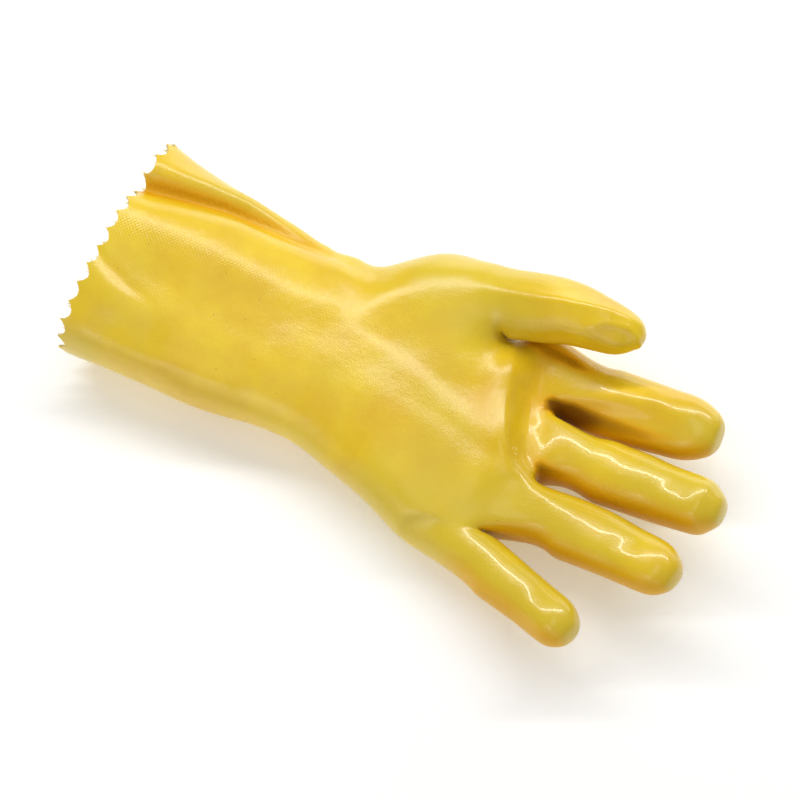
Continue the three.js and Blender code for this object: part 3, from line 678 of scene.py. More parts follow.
@dataclass(frozen=True)
class Easing:
    """How the coating pools in hollows: bends in 1/mm, and spots (at, side, reach mm, up)."""

    rounds: int = 20
    share: float = 0.5
    start: float = 0.03
    full: float = 0.12
    spots: tuple[tuple[float, float, float, float], ...] = (
        (0.57, 0.33, 12, 1), (0.585, 0.24, 12, 1), (0.59, 0.13, 12, 1),
        (0.6, 0.39, 8, 0), (0.695, 0.116, 5, 0))


@dataclass
class GloveForm:
    """The shape of the outside, from the cage to the folded and settled surface."""

    sizes: Sizes = field(default_factory=Sizes)
    easing: Easing = field(default_factory=Easing)
    fit_rounds: int = 6
    fit_share: float = 0.9
    facing: tuple[float, float] = (-0.6, 0.1)     # rise of the normal where strokes begin and are full
    waves_mm: tuple[tuple[float, float], ...] = ((60, 0.5), (38, 0.3), (24, 0.1), (15, 0.03))
    waves_each: int = 5
    wave_share: float = 1 / 2.2
    wave_seed: int = 7
    softness_mm: float = 0.25                     # of the edge where the back leaves the ground

    def fitted(self, cage: Surface) -> Surface:
        """Moves the cage out until the smooth surface passes through its points.

        Args:
            cage: the cage as drawn.

        Returns:
            The cage moved out.
        """
        moved = cage.points
        for _ in range(self.fit_rounds):
            moved = moved + self.fit_share * (cage.points - Surface(moved, cage.quads).landed())
        return Surface(moved, cage.quads)

    def pooled(self, surface: Surface) -> Surface:
        """Eases the surface where it is concave and tight, and at the named spots.

        Args:
            surface: the cage smoothed once.

        Returns:
            The same net with its points eased.
        """
        e = self.easing
        edges, _, uses = surface.edges()
        both = np.concatenate([edges[:, 0], edges[:, 1]])
        other = np.concatenate([edges[:, 1], edges[:, 0]])
        valence = np.bincount(both, minlength=len(surface.points))
        inner = np.ones(len(surface.points))
        inner[np.unique(edges[uses == 1])] = 0
        moved = surface.points.copy()
        for _ in range(e.rounds):
            now = Surface(moved, surface.quads)
            normal = now.normals()
            pull = now.gathered(both, moved[other])[:, :3] / valence[:, None] - moved[:, :3]
            apart = np.linalg.norm(moved[other, :3] - moved[both, :3], axis=1)
            span = np.bincount(both, weights=apart, minlength=len(moved)) / valence
            bend = 2 * (pull * normal).sum(axis=1) / span ** 2
            share = eased(e.start, e.full, bend)
            for at, side, reach, up in e.spots:
                away = np.hypot(moved[:, 0] - at * self.sizes.length,
                                moved[:, 1] - side * self.sizes.palm_width)
                facing = np.clip((normal[:, 2] + 0.5) / 0.8, 1 - up, 1)
                share = np.maximum(share, facing * np.exp(-((away / reach) ** 2)))
            moved = moved.copy()
            moved[:, :3] += pull * (share * e.share * inner)[:, None]
        return Surface(moved, surface.quads)

    def stroke_rise(self, strokes: tuple[Stroke, ...], points: np.ndarray, normals: np.ndarray) -> np.ndarray:
        """How far strokes lift the surface at its points, in mm.

        Args:
            strokes: folds, dents and ridges.
            points: places with their thumb share.
            normals: outward normals there.

        Returns:
            One lift along the normal for each point.
        """
        facing = eased(*self.facing, normals[:, 2])
        total = np.zeros(len(points))
        for stroke in strokes:
            path = np.array(stroke.path, float) * [self.sizes.length, self.sizes.palm_width, 1, 1]
            best = np.full(len(points), np.inf)
            lift = np.zeros(len(points))
            for a, b in zip(path, path[1:]):
                d = b[:2] - a[:2]
                t = np.clip((points[:, :2] - a[:2]) @ d / (d @ d), 0, 1)
                away = np.linalg.norm(points[:, :2] - a[:2] - t[:, None] * d, axis=1)
                near = away < best
                best[near] = away[near]
                lift[near] = (mix(a[3], b[3], t) * np.exp(-((away / mix(a[2], b[2], t)) ** 2)))[near]
            share = points[:, THUMB] if stroke.on is Part.THUMB else 1 - points[:, THUMB]
            total += facing * share * lift
        return total

    def waves(self, points: np.ndarray) -> np.ndarray:
        """Slow unevenness of the whole skin in mm, from seeded sine waves.

        Args:
            points: places in mm.

        Returns:
            One rise for each point.
        """
        random = np.random.default_rng(self.wave_seed)
        total = np.zeros(len(points))
        for length, rise in self.waves_mm:
            for _ in range(self.waves_each):
                heading = random.normal(size=3)
                heading *= 2 * np.pi / length / np.linalg.norm(heading)
                start = random.uniform(0, 2 * np.pi)
                total += rise * self.wave_share * np.sin(points[:, :3] @ heading + start)
        return total

    def settled(self, points: np.ndarray) -> np.ndarray:
        """Points with the back flattened on what it lies on, softly at its edge.

        Args:
            points: places in mm with their thumb share.

        Returns:
            The points with new heights.
        """
        ground = points[:, 2].min() + self.sizes.settle
        z = points[:, 2] - ground
        soft = self.softness_mm
        out = points.copy()
        out[:, 2] = np.where(z > 3 * soft, z, soft * np.log1p(np.exp(np.clip(z / soft, -40, 40))))
        return out

    def built(self, levels: int) -> Surface:
        """The smooth outside with its folds, before its finer creases, in mm.

        Args:
            levels: how often the cage is smoothed.

        Returns:
            The surface in the frame of the tables, with its rim at x about 0.
        """
        surface = self.pooled(self.fitted(Cage(self.sizes).surface()).smoothed())
        for _ in range(levels - 1):
            surface = surface.smoothed()
        surface = Surface(surface.landed(), surface.quads)
        normals = surface.normals()
        surface.points[:, :3] += normals * self.stroke_rise(FOLDS, surface.points, normals)[:, None]
        return surface


class Side(Enum):
    """Which side of the wall a face belongs to."""

    COAT = 0
    KNIT = 1


def linear(code: str) -> tuple[float, float, float, float]:
    """An sRGB hex colour as linear light with alpha 1."""
    parts = [int(code[i:i + 2], 16) / 255 for i in (1, 3, 5)]
    return (*[c / 12.92 if c <= 0.04045 else ((c + 0.055) / 1.055) ** 2.4 for c in parts], 1.0)


def node(owner: Material | NodeTree, kind: str, settings: dict[str, object] | None = None,
         inputs: dict[str | int, object] | None = None) -> Node:
    """Adds a node with its settings and what goes into it.

    Args:
        owner: the tree that gets the node, or the material that it belongs to.
        kind: the node's type name.
        settings: its own properties.
        inputs: a value or an output socket for each input, by name or number.

    Returns:
        The new node.
    """
    tree = owner.node_tree if isinstance(owner, Material) else owner
    made = tree.nodes.new(kind)
    for key, value in (settings or {}).items():
        setattr(made, key, value)
    for key, value in (inputs or {}).items():
        if isinstance(value, Socket):
            tree.links.new(value, made.inputs[key])
        else:
            made.inputs[key].default_value = value
    return made


def blank_material(name: str) -> tuple[Material, Node]:
    """A new material with its output, and the shader that reaches it.

    Args:
        name: its name.

    Returns:
        The material and its shader.
    """
    material = bpy.data.materials.new(name)
    material.use_nodes = True
    material.node_tree.nodes.clear()
    shader = node(material, "ShaderNodeBsdfPrincipled")
    node(material, "ShaderNodeOutputMaterial", None, {"Surface": shader.outputs["BSDF"]})
    return material, shader


def ramp(material: Material, value: Socket,
         stops: list[tuple[float, tuple[float, ...]]]) -> Node:
    """A colour ramp over a value, with its stops as (place, colour).

    Args:
        material: the material to add to.
        value: what the ramp reads.
        stops: places from 0 to 1 with their colours.

    Returns:
        The ramp.
    """
    made = node(material, "ShaderNodeValToRGB", None, {"Fac": value})
    elements = made.color_ramp.elements
    while len(elements) < len(stops):
        elements.new(0.5)
    for element, (place, colour) in zip(elements, stops):
        element.position, element.color = place, colour
    return made


@dataclass(frozen=True)
class DippedPvc:
    """Plasticised PVC, dipped and fused on a knit: glossy, slightly uneven, with shade painted into its
    colour in hollows, folds and on shaded flanks.
    """

    bright: str = "#F7D41E"
    deep: str = "#E8BC12"
    # the next two tones are painted shade, for hollows, folds, lower flanks and the shadow under the thumb
    amber_shade: str = "#ECB010"
    brown_shade: str = "#80520A"
    green: str = "#DFC42E"
    speck: str = "#6E5A1E"
    roughness: float = 0.26
    shade_roughness: float = 0.5
    ior: float = 1.53
    specular: float = 0.5
    shade_specular: float = 0.06
    coat: float = 0.42
    coat_roughness: float = 0.09
    sleeve_roughness: float = 0.32
    shade_dull_at: float = 0.6        # share of the painted shade where its gloss is gone
    # shares of painted shade where the first shade tone is full and where the darker one begins
    amber_shade_full: float = 0.5
    brown_shade_from: float = 0.4
    green_within: tuple[float, float] = (0.45, 0.62)
    green_most: float = 0.7
    speck_most: float = 0.6
    speck_chosen: float = 0.62    # cells above this share hold a grain
    speck_edge: tuple[float, float] = (0.03, 0.075)    # where a grain starts to fade and is gone, in cells
    patch_within: tuple[float, float] = (0.5, 0.7)
    patch_shown: tuple[float, float] = (0.02, 0.22)    # how much of the loops shows between and in patches
    mottle_mm: float = 1000 / 38  # patches of thinner and thicker coat
    cloud_mm: float = 1000 / 14   # wide greenish clouds
    patch_mm: float = 1000 / 45   # patches where the knit shows through
    grain_mm: float = 1 / 1.3     # pits of the fused skin
    loop_mm: float = 1.7          # knit loops that print through, 1.2 mm in life and drawn wider to show
    loop_height: float = 0.8      # loops to the metre across, against along
    swell_mm: float = 9.0         # slow waves of the dipped skin
    speck_mm: float = 5.0         # distance between dark pigment grains
    # strength of each bump, and its height in metres
    knit_bump: tuple[float, float] = (0.35, 0.00016)
    grain_bump: tuple[float, float] = (0.5, 0.00025)
    swell_bump: tuple[float, float] = (0.22, 0.0016)

    def made(self) -> Material:
        """The whole material.

        Returns:
            A material on Object coordinates in metres and the point attributes of painted shade, gloss and
            knit print.
        """
        material, shader = blank_material("dipped_pvc")
        place = node(material, "ShaderNodeTexCoord").outputs["Object"]
        # the share of painted shade, from hollows, folds, lower flanks and the shadow under the thumb
        painted_shade = node(material, "ShaderNodeAttribute", {"attribute_name": "painted_shade"}).outputs["Fac"]
        pigment = self.pigment(material, place, painted_shade)
        material.node_tree.links.new(self.speckled(material, place, pigment), shader.inputs["Base Color"])
        self.gloss(material, shader, painted_shade)
        self.relief(material, shader, place)
        shader.inputs["IOR"].default_value = self.ior
        return material

    def pigment(self, material: Material, place: Socket,
                painted_shade: Socket) -> Socket:
        """The yellow of the coat, clouded, with shade painted in two deeper tones.

        Args:
            material: the material to add to.
            place: Object coordinates.
            painted_shade: the share of painted shade, from 0 to 1.

        Returns:
            The colour.
        """
        mottle = node(material, "ShaderNodeTexNoise", None,
                      {"Vector": place, "Scale": 1 / (self.mottle_mm * MM), "Detail": 4.0, "Roughness": 0.55})
        cloud = node(material, "ShaderNodeTexNoise", None,
                     {"Vector": place, "Scale": 1 / (self.cloud_mm * MM), "Detail": 2.0, "Roughness": 0.5})
        base = ramp(material, mottle.outputs["Fac"], [(0.3, linear(self.deep)), (0.7, linear(self.bright))])
        colour = base.outputs["Color"]
        # random greenish clouds, then the two tones of painted shade
        for value, low, high, most, tone in (
                (cloud.outputs["Fac"], *self.green_within, self.green_most, self.green),
                (painted_shade, 0.0, self.amber_shade_full, 1.0, self.amber_shade),
                (painted_shade, self.brown_shade_from, 1.0, 1.0, self.brown_shade)):
            share = node(material, "ShaderNodeMapRange", {"clamp": True},
                         {"Value": value, "From Min": low, "From Max": high, "To Max": most})
            colour = node(material, "ShaderNodeMix", {"data_type": "RGBA"},
                          {0: share.outputs[0], 6: colour, 7: linear(tone)}).outputs[2]
        return colour

    def speckled(self, material: Material, place: Socket,
                 colour: Socket) -> Socket:
        """Dark grains of pigment: some cells of a Voronoi pattern hold one.

        Args:
            material: the material to add to.
            place: Object coordinates.
            colour: the colour under the grains.

        Returns:
            The colour with its grains.
        """
        grains = node(material, "ShaderNodeTexVoronoi", {"feature": "F1"},
                      {"Vector": place, "Scale": 1 / (self.speck_mm * MM), "Randomness": 1.0})
        chosen = node(material, "ShaderNodeMath", {"operation": "GREATER_THAN"},
                      {0: grains.outputs["Color"], 1: self.speck_chosen})
        small = node(material, "ShaderNodeMapRange", {"clamp": True},
                     {"Value": grains.outputs["Distance"], "From Min": self.speck_edge[0],
                      "From Max": self.speck_edge[1], "To Min": self.speck_most, "To Max": 0.0})
        dot = node(material, "ShaderNodeMath", {"operation": "MULTIPLY"},
                   {0: chosen.outputs[0], 1: small.outputs[0]})
        return node(material, "ShaderNodeMix", {"data_type": "RGBA"},
                    {0: dot.outputs[0], 6: colour, 7: linear(self.speck)}).outputs[2]

    def gloss(self, material: Material, shader: Node, painted_shade: Socket) -> None:
        """Gloss that fades where shade is painted, and is satin on the sleeve.

        Args:
            material: the material to add to.
            shader: its shader.
            painted_shade: the share of painted shade, from 0 to 1.
        """
        glossy = node(material, "ShaderNodeAttribute", {"attribute_name": "glossy"}).outputs["Fac"]
        for name, value, full, low, high in (
                ("Roughness", painted_shade, 1.0, self.roughness, self.shade_roughness),
                ("Coat Weight", painted_shade, self.shade_dull_at, self.coat, 0.0),
                ("Specular IOR Level", painted_shade, self.shade_dull_at, self.specular, self.shade_specular),
                ("Coat Roughness", glossy, 1.0, self.sleeve_roughness, self.coat_roughness)):
            mapped = node(material, "ShaderNodeMapRange", {"clamp": True},
                          {"Value": value, "From Max": full, "To Min": low, "To Max": high})
            material.node_tree.links.new(mapped.outputs[0], shader.inputs[name])

    def relief(self, material: Material, shader: Node, place: Socket) -> None:
        """Bumps: the knit that prints through, the pits of the skin, and its slow waves.

        Args:
            material: the material to add to.
            shader: its shader.
            place: Object coordinates.
        """
        turn = 2 * math.pi / (self.loop_mm * MM)
        parts = node(material, "ShaderNodeSeparateXYZ", None, {0: place})
        height = node(material, "ShaderNodeMath", {"operation": "ADD"},
                      {0: parts.outputs["Y"], 1: parts.outputs["Z"]})
        waves = []
        for source, stretch in ((parts.outputs["X"], 1.0), (height.outputs[0], self.loop_height)):
            phase = node(material, "ShaderNodeMath", {"operation": "MULTIPLY"},
                         {0: source, 1: turn * stretch})
            wave = node(material, "ShaderNodeMath", {"operation": "SINE"}, {0: phase.outputs[0]})
            waves.append(wave.outputs[0])
        loops = node(material, "ShaderNodeMath", {"operation": "MULTIPLY"}, {0: waves[0], 1: waves[1]})
        printed = node(material, "ShaderNodeAttribute", {"attribute_name": "printed"}).outputs["Fac"]
        patches = node(material, "ShaderNodeTexNoise", None,
                       {"Vector": place, "Scale": 1 / (self.patch_mm * MM), "Detail": 2.0, "Roughness": 0.5})
        amount = node(material, "ShaderNodeMapRange", {"clamp": True},
                      {"Value": patches.outputs["Fac"], "From Min": self.patch_within[0],
                       "From Max": self.patch_within[1], "To Min": self.patch_shown[0],
                       "To Max": self.patch_shown[1]})
        shown = node(material, "ShaderNodeMath", {"operation": "MAXIMUM"}, {0: amount.outputs[0], 1: printed})
        knit = node(material, "ShaderNodeMath", {"operation": "MULTIPLY"},
                    {0: loops.outputs[0], 1: shown.outputs[0]})
        grain = node(material, "ShaderNodeTexNoise", None,
                     {"Vector": place, "Scale": 1 / (self.grain_mm * MM), "Detail": 2.0, "Roughness": 0.7})
        swell = node(material, "ShaderNodeTexNoise", None,
                     {"Vector": place, "Scale": 1 / (self.swell_mm * MM), "Detail": 2.0, "Roughness": 0.5})
        normal = {}
        for (strength, depth), source in (
                (self.knit_bump, knit.outputs[0]), (self.grain_bump, grain.outputs["Fac"]),
                (self.swell_bump, swell.outputs["Fac"])):
            bump = node(material, "ShaderNodeBump", None,
                        {"Strength": strength, "Distance": depth, "Height": source, **normal})
            normal = {"Normal": bump.outputs["Normal"]}
        material.node_tree.links.new(normal["Normal"], shader.inputs["Normal"])


@dataclass(frozen=True)
class BondedKnit:
    """Cotton interlock knit, soaked with resin on its outer side: off-white, matt, ribbed."""

    light: str = "#EFE7CF"
    shade: str = "#CDBF96"
    wale_mm: float = 1.3
    fuzz_mm: float = 1 / 0.9          # clumps of hairs
    bands: float = 3.1            # bands that the wave texture draws to one unit of its scale
    waver: float = 1.2            # how far the ribs stray from straight lines
    roughness: float = 0.95
    sheen: float = 0.2            # pale glow of standing hairs
    # strength of each bump, and its height in metres
    rib_bump: tuple[float, float] = (0.8, 0.0004)
    fuzz_bump: tuple[float, float] = (0.5, 0.0002)

    def made(self) -> Material:
        """The material, on Object coordinates in metres.

        Returns:
            The material, off-white with ribs and fuzz.
        """
        material, shader = blank_material("bonded_cotton_knit")
        place = node(material, "ShaderNodeTexCoord").outputs["Object"]
        rib = node(material, "ShaderNodeTexWave", {"wave_type": "BANDS", "bands_direction": "Y"},
                   {"Vector": place, "Scale": 1 / (self.wale_mm * MM) / self.bands, "Distortion": self.waver,
                    "Detail": 1.0})
        fuzz = node(material, "ShaderNodeTexNoise", None,
                    {"Vector": place, "Scale": 1 / (self.fuzz_mm * MM), "Detail": 3.0})
        colour = ramp(material, rib.outputs["Fac"], [(0.2, linear(self.shade)), (0.8, linear(self.light))])
        material.node_tree.links.new(colour.outputs["Color"], shader.inputs["Base Color"])
        ribs = node(material, "ShaderNodeBump", None,
                    {"Strength": self.rib_bump[0], "Distance": self.rib_bump[1],
                     "Height": rib.outputs["Fac"]})
        hairs = node(material, "ShaderNodeBump", None,
                     {"Strength": self.fuzz_bump[0], "Distance": self.fuzz_bump[1],
                      "Height": fuzz.outputs["Fac"],
                      "Normal": ribs.outputs["Normal"]})
        material.node_tree.links.new(hairs.outputs["Normal"], shader.inputs["Normal"])
        shader.inputs["Roughness"].default_value = self.roughness
        shader.inputs["Sheen Weight"].default_value = self.sheen
        return material


@dataclass(frozen=True)
class CoatZones:
    """Where shade is painted, where the coat is glossy and where the knit prints through, in shares of the
    length and palm width.
    """

    shade_depth_mm: tuple[float, float] = (0.1, 1.4)      # depth of hollows where painted shade begins and is full
    fold_shade_mm: tuple[float, float] = (3.5, 9)        # the same for the depth of the drawn folds
    shade_most: float = 0.5                         # share of the deepest painted shade that they reach
    roots: tuple[float, float, float, float] = (0.6, 0.66, 0.74, 0.8)    # begin, full, ending and end
    roots_clear: float = 0.65                      # share of the painted shade in hollows that the finger roots lose
    flank_shade: tuple[float, float] = (0.62, 0.72)    # where painted shade on the lower flanks of the fingers begins and is full
    flank: tuple[float, float] = (0.3, 0.95)       # lean of the skin toward the little finger's side
    flank_shade_most: float = 0.45
    shaded: tuple[float, float] = (0.15, 0.8)      # rise of the painted shade strokes where it begins and is full
    gloss: tuple[float, float] = (0.6, 0.7)        # where the sleeve's satin turns to full gloss
    print_side: tuple[float, float] = (0.04, 0.12)
    print_slant: float = 0.3                       # the printed band runs from one side to the other to here
    print_end: tuple[float, float] = (0.28, 0.4)
    print_wide: float = 0.075


@dataclass(frozen=True)
class Pinking:
    """How the scallops of the rim vary, as cut by hand with pinking shears."""

    uneven: float = 0.16
    fast: float = 2.4
    slow: float = 0.9
    power: float = 0.8


@dataclass
class GloveShell:
    """The glove itself: dipped coat outside, bonded knit inside, pinked rim between them."""

    form: GloveForm = field(default_factory=GloveForm)
    levels: int = 3
    rim_rows: int = 5
    coat: DippedPvc = field(default_factory=DippedPvc)
    knit: BondedKnit = field(default_factory=BondedKnit)
    zones: CoatZones = field(default_factory=CoatZones)
    pinking: Pinking = field(default_factory=Pinking)
    cut_line: np.ndarray = field(default_factory=lambda: np.zeros((0, 3)))

    def shift(self, coarse: np.ndarray) -> np.ndarray:
        """From the frame of the tables to the frame of the part, both in mm.

        Args:
            coarse: points of the outside as the solids have them.

        Returns:
            What to add to a point of the tables, without its height.
        """
        low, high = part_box("glove_shell")
        lows, highs = coarse[:, :3].min(axis=0), coarse[:, :3].max(axis=0)
        x = high.x / MM - highs[0]
        y = ((high.y + low.y) / MM - (highs[1] + lows[1])) / 2
        return np.array([x, y, 0.0])

    def rim_columns(self, surface: Surface) -> np.ndarray:
        """The points of the open rim in order, each with those behind it in the sleeve.

        Args:
            surface: the open outside.

        Returns:
            One row of point numbers for each rim point, from the rim inwards.
        """
        _, which, uses = surface.edges()
        sides = {(int(quad[k]), int(quad[(k + 1) % 4])): (f, k)
                 for f, quad in enumerate(surface.quads) for k in range(4)}
        first = {}
        for f, k in np.argwhere(uses[which] == 1):
            quad = surface.quads[f]
            first[int(quad[k])] = (int(f), int(k))
        start = min(first)
        columns, at = [], start
        while True:
            f, k = first[at]
            column = [at]
            for _ in range(self.rim_rows):
                quad = surface.quads[f]
                behind, beside = int(quad[(k + 3) % 4]), int(quad[(k + 2) % 4])
                column.append(behind)
                f, k = sides[(behind, beside)]
            columns.append(column)
            at = int(surface.quads[first[at][0]][(first[at][1] + 1) % 4])
            if at == start:
                return np.array(columns)

    @staticmethod
    def along(column: np.ndarray, place: np.ndarray) -> np.ndarray:
        """Points at a place, counted in rows, along columns of points.

        Args:
            column: points of each column, from the rim inwards.
            place: how many rows in, for each column.

        Returns:
            One point for each column.
        """
        low = np.clip(np.floor(place).astype(int), 0, column.shape[1] - 2)
        share = (place - low)[:, None]
        each = np.arange(len(column))
        return column[each, low] * (1 - share) + column[each, low + 1] * share

    def scallop(self, place: np.ndarray) -> np.ndarray:
        """Depth of the pinking at a place round the rim, counted in scallops.

        Args:
            place: places round the rim.

        Returns:
            How far the edge is cut back in mm.
        """
        tooth = np.floor(place + 1e-9)
        cut = self.pinking
        uneven = 1 + cut.uneven * np.sin(tooth * cut.fast) * np.cos(tooth * cut.slow)
        return self.form.sizes.tooth_depth * uneven * np.abs(np.sin(np.pi * place)) ** cut.power

    @staticmethod
    def spline(values: np.ndarray, t: float) -> np.ndarray:
        """Points a share t of the way from each value of a ring to the next, on a curve.

        Args:
            values: points of a ring.
            t: the share.

        Returns:
            One point for each value.
        """
        a, b, d, e = (np.roll(values, k, axis=0) for k in (1, 0, -1, -2))
        bend = (2 * a - 5 * b + 4 * d - e) * t * t + (3 * b - a - 3 * d + e) * t ** 3
        return 0.5 * (2 * b + (d - a) * t + bend)

    def painted_shade(self, surface: Surface, reach: int = 3) -> np.ndarray:
        """The share of painted shade in the hollows of the outside, from how concave it is.

        Args:
            surface: the outside in mm.
            reach: rounds of smoothing that the measure looks over.

        Returns:
            A share from 0 to 1 at each point.
        """
        edges, _, _ = surface.edges()
        both = np.concatenate([edges[:, 0], edges[:, 1]])
        other = np.concatenate([edges[:, 1], edges[:, 0]])
        count = np.bincount(both, minlength=len(surface.points))[:, None]
        normals = surface.normals()
        moved = surface.points[:, :3]
        # the measure looks over six times as many rounds as it is blurred by
        for _ in range(reach * 6):
            moved = (surface.gathered(both, moved[other]) / count + moved) / 2
        depth = ((moved - surface.points[:, :3]) * normals).sum(axis=1)
        value = eased(*self.zones.shade_depth_mm, depth)[:, None]
        for _ in range(reach):
            value = (surface.gathered(both, value[other]) / count + value) / 2
        return value[:, 0]

    def glossy(self, points: np.ndarray) -> np.ndarray:
        """How fresh the gloss is at each point: dull on the sleeve, full on the fingers."""
        return eased(*self.zones.gloss, points[:, 0] / self.form.sizes.length)

    def printed(self, points: np.ndarray) -> np.ndarray:
        """How clearly the knit prints through along the lobe of the sleeve.

        Args:
            points: places in mm.

        Returns:
            A share from 0 to 1 at each point.
        """
        sizes, zones = self.form.sizes, self.zones
        at, side = points[:, 0] / sizes.length, points[:, 1] / sizes.palm_width
        middle = mix(*zones.print_side, eased(0.0, zones.print_slant, at))
        return (1 - eased(*zones.print_end, at)) * np.exp(-(((side - middle) / zones.print_wide) ** 2))

    def shade_share(self, surface: Surface, folds: np.ndarray) -> np.ndarray:
        """How much shade is painted on the coat: in hollows, in folds, on the lower flanks and along the
        shaded strokes.

        Args:
            surface: the outside with its creases, in mm.
            folds: how far folds and creases lift it, in mm.

        Returns:
            A share from 0 to 1 at each point.
        """
        zones, points, normals = self.zones, surface.points, surface.normals()
        at = points[:, 0] / self.form.sizes.length
        start, full, ending, end = zones.roots
        roots = eased(start, full, at) * (1 - eased(ending, end, at))
        # painted shade in hollows, less at the finger roots, and in the drawn folds
        pooled = self.painted_shade(surface) * (1 - zones.roots_clear * roots)
        thick = zones.shade_most * np.maximum(pooled, eased(*zones.fold_shade_mm, -folds))
        # painted shade on the lower flanks of the fingers, where the skin leans toward the little finger's
        # side
        flank_shade = eased(*zones.flank_shade, at) * eased(*zones.flank, -normals[:, 1]) * (1 - points[:, THUMB])
        thick = np.maximum(thick, zones.flank_shade_most * flank_shade)
        # painted shade along the shaded strokes: index flank, sleeve valley, under the thumb and the finger
        # roots
        return np.maximum(thick, eased(*zones.shaded, self.form.stroke_rise(SHADED, points, normals)))

    def build(self) -> Object:
        """Makes the mesh of the whole wall and dresses it.

        Returns:
            The piece, with its place in its mesh, in metres.
        """
        sizes = self.form.sizes
        shift = self.shift(self.form.built(1).points)
        surface = self.form.built(self.levels)
        normals = surface.normals()
        crease = self.form.stroke_rise(CREASES, surface.points, normals)
        deep = self.form.stroke_rise(FOLDS + CREASES, surface.points, normals)
        surface.points[:, :3] += normals * (crease + self.form.waves(surface.points))[:, None]
        surface.points = self.form.settled(surface.points)
        normals = surface.normals()
        # the share of painted shade at each point of the outside
        painted_shade = self.shade_share(surface, deep)
        columns = self.rim_columns(surface)
        loop, behind = columns[:, 0], columns[:, 1]
        quads = surface.quads[~np.isin(surface.quads, loop).any(axis=1)]
        points = surface.points[:, :3].copy()

        # the pinked rim: several points to each one of the smooth loop, and the rows behind draw back
        split, n, rows = sizes.rim_split, len(loop), self.rim_rows
        grid = points[columns]
        rim, direction, shade = [], [], []
        for k in range(split):
            t = k / split
            column = np.stack([self.spline(grid[:, r], t) for r in range(rows + 1)], axis=1)
            length = np.linalg.norm(column[:, -1] - column[:, 0], axis=1) / rows
            cut = self.scallop((np.arange(n) + t) / n * sizes.teeth) / length
            rim.append(self.along(column, cut))
            direction.append(self.spline(normals[loop], t))
            shade.append(painted_shade[loop])
            if k == 0:
                for r in range(1, rows):
                    points[columns[:, r]] = self.along(column, cut + r * (rows - cut) / rows)
        rim = np.stack(rim, axis=1).reshape(-1, 3)
        direction = np.stack(direction, axis=1).reshape(-1, 3)
        direction /= np.linalg.norm(direction, axis=1)[:, None]
        first = len(points)
        points = np.vstack([points, rim])
        normals = np.vstack([normals, direction])
        painted_shade = np.concatenate([painted_shade, np.stack(shade, axis=1).reshape(-1)])
        ring = first + np.arange(len(rim)).reshape(n, split)
        following = np.roll(ring[:, 0], -1)
        a, b = behind, np.roll(behind, -1)
        band = [(ring[i, k], ring[i, k + 1], a[i]) for k in range(split - 1) for i in range(n)]
        band += [(ring[i, -1], b[i], a[i]) for i in range(n)]
        band += [(ring[i, -1], following[i], b[i]) for i in range(n)]
        return self.joined(points, normals, painted_shade, quads, np.array(band), ring.reshape(-1), shift)

    def joined(self, points: np.ndarray, normals: np.ndarray, painted_shade: np.ndarray, quads: np.ndarray,
               band: np.ndarray, ring: np.ndarray, shift: np.ndarray) -> Object:
        """Adds the inside and the cut edge, and makes the object.

        Args:
            points: the outside in mm, with the rim's own points last.
            normals: outward normals at the points.
            painted_shade: the share of painted shade on the outside there.
            quads: faces of the outside away from the rim.
            band: triangles along the rim.
            ring: the rim's points in order.
            shift: from the tables' frame to the part's.

        Returns:
            The piece.
        """
        sizes = self.form.sizes
        used = np.unique(np.concatenate([quads.ravel(), band.ravel()]))
        renamed = np.zeros(len(points), int)
        renamed[used] = np.arange(len(used))
        points, normals, painted_shade = points[used], normals[used], painted_shade[used]
        quads, band, ring = renamed[quads], renamed[band], renamed[ring]
        # the inner face keeps one wall from the faces, not from the points
        corners = np.vstack([quads[:, :3], quads[:, [0, 2, 3]], band])
        a, b, c = (points[corners[:, k]] for k in range(3))
        across = np.cross(b - a, c - a)
        area = np.linalg.norm(across, axis=1)
        lean = (normals[corners] * (across / area[:, None])[:, None]).sum(axis=2) * area[:, None]
        total = np.bincount(corners.ravel(), weights=lean.ravel(), minlength=len(points))
        weight = np.bincount(corners.ravel(), weights=np.repeat(area, 3), minlength=len(points))
        mitre = np.clip(weight / np.maximum(total, 1e-6), 1, sizes.mitre_limit)[:, None]
        inner = points - sizes.wall * mitre * normals
        middle = points[ring] - sizes.coat * mitre[ring] * normals[ring]
        count = len(points)
        after = np.roll(ring, -1)
        mid = 2 * count + np.arange(len(ring))
        mid_after = np.roll(mid, -1)
        places = (np.vstack([points, inner, middle]) + shift) * MM
        self.cut_line = places[mid]
        faces = [tuple(map(int, q)) for q in quads] + [tuple(map(int, t)) for t in band]
        outer_faces = len(faces)
        faces += [(int(p), int(m), int(m2), int(q)) for p, m, m2, q in zip(ring, mid, mid_after, after)]
        coat_faces = len(faces)
        inner_edge = zip(ring + count, mid, mid_after, after + count)
        faces += [(int(m), int(p), int(q), int(m2)) for p, m, m2, q in inner_edge]
        faces += [tuple(int(i) + count for i in reversed(face)) for face in faces[:outer_faces]]
        mesh = bpy.data.meshes.new("glove_wall")
        mesh.from_pydata(places.tolist(), [], faces)
        mesh.materials.append(self.coat.made())
        mesh.materials.append(self.knit.made())
        sides = np.full(len(faces), Side.KNIT.value, np.int32)
        sides[:coat_faces] = Side.COAT.value
        mesh.polygons.foreach_set("material_index", sides)
        mesh.polygons.foreach_set("use_smooth", np.ones(len(faces), bool))
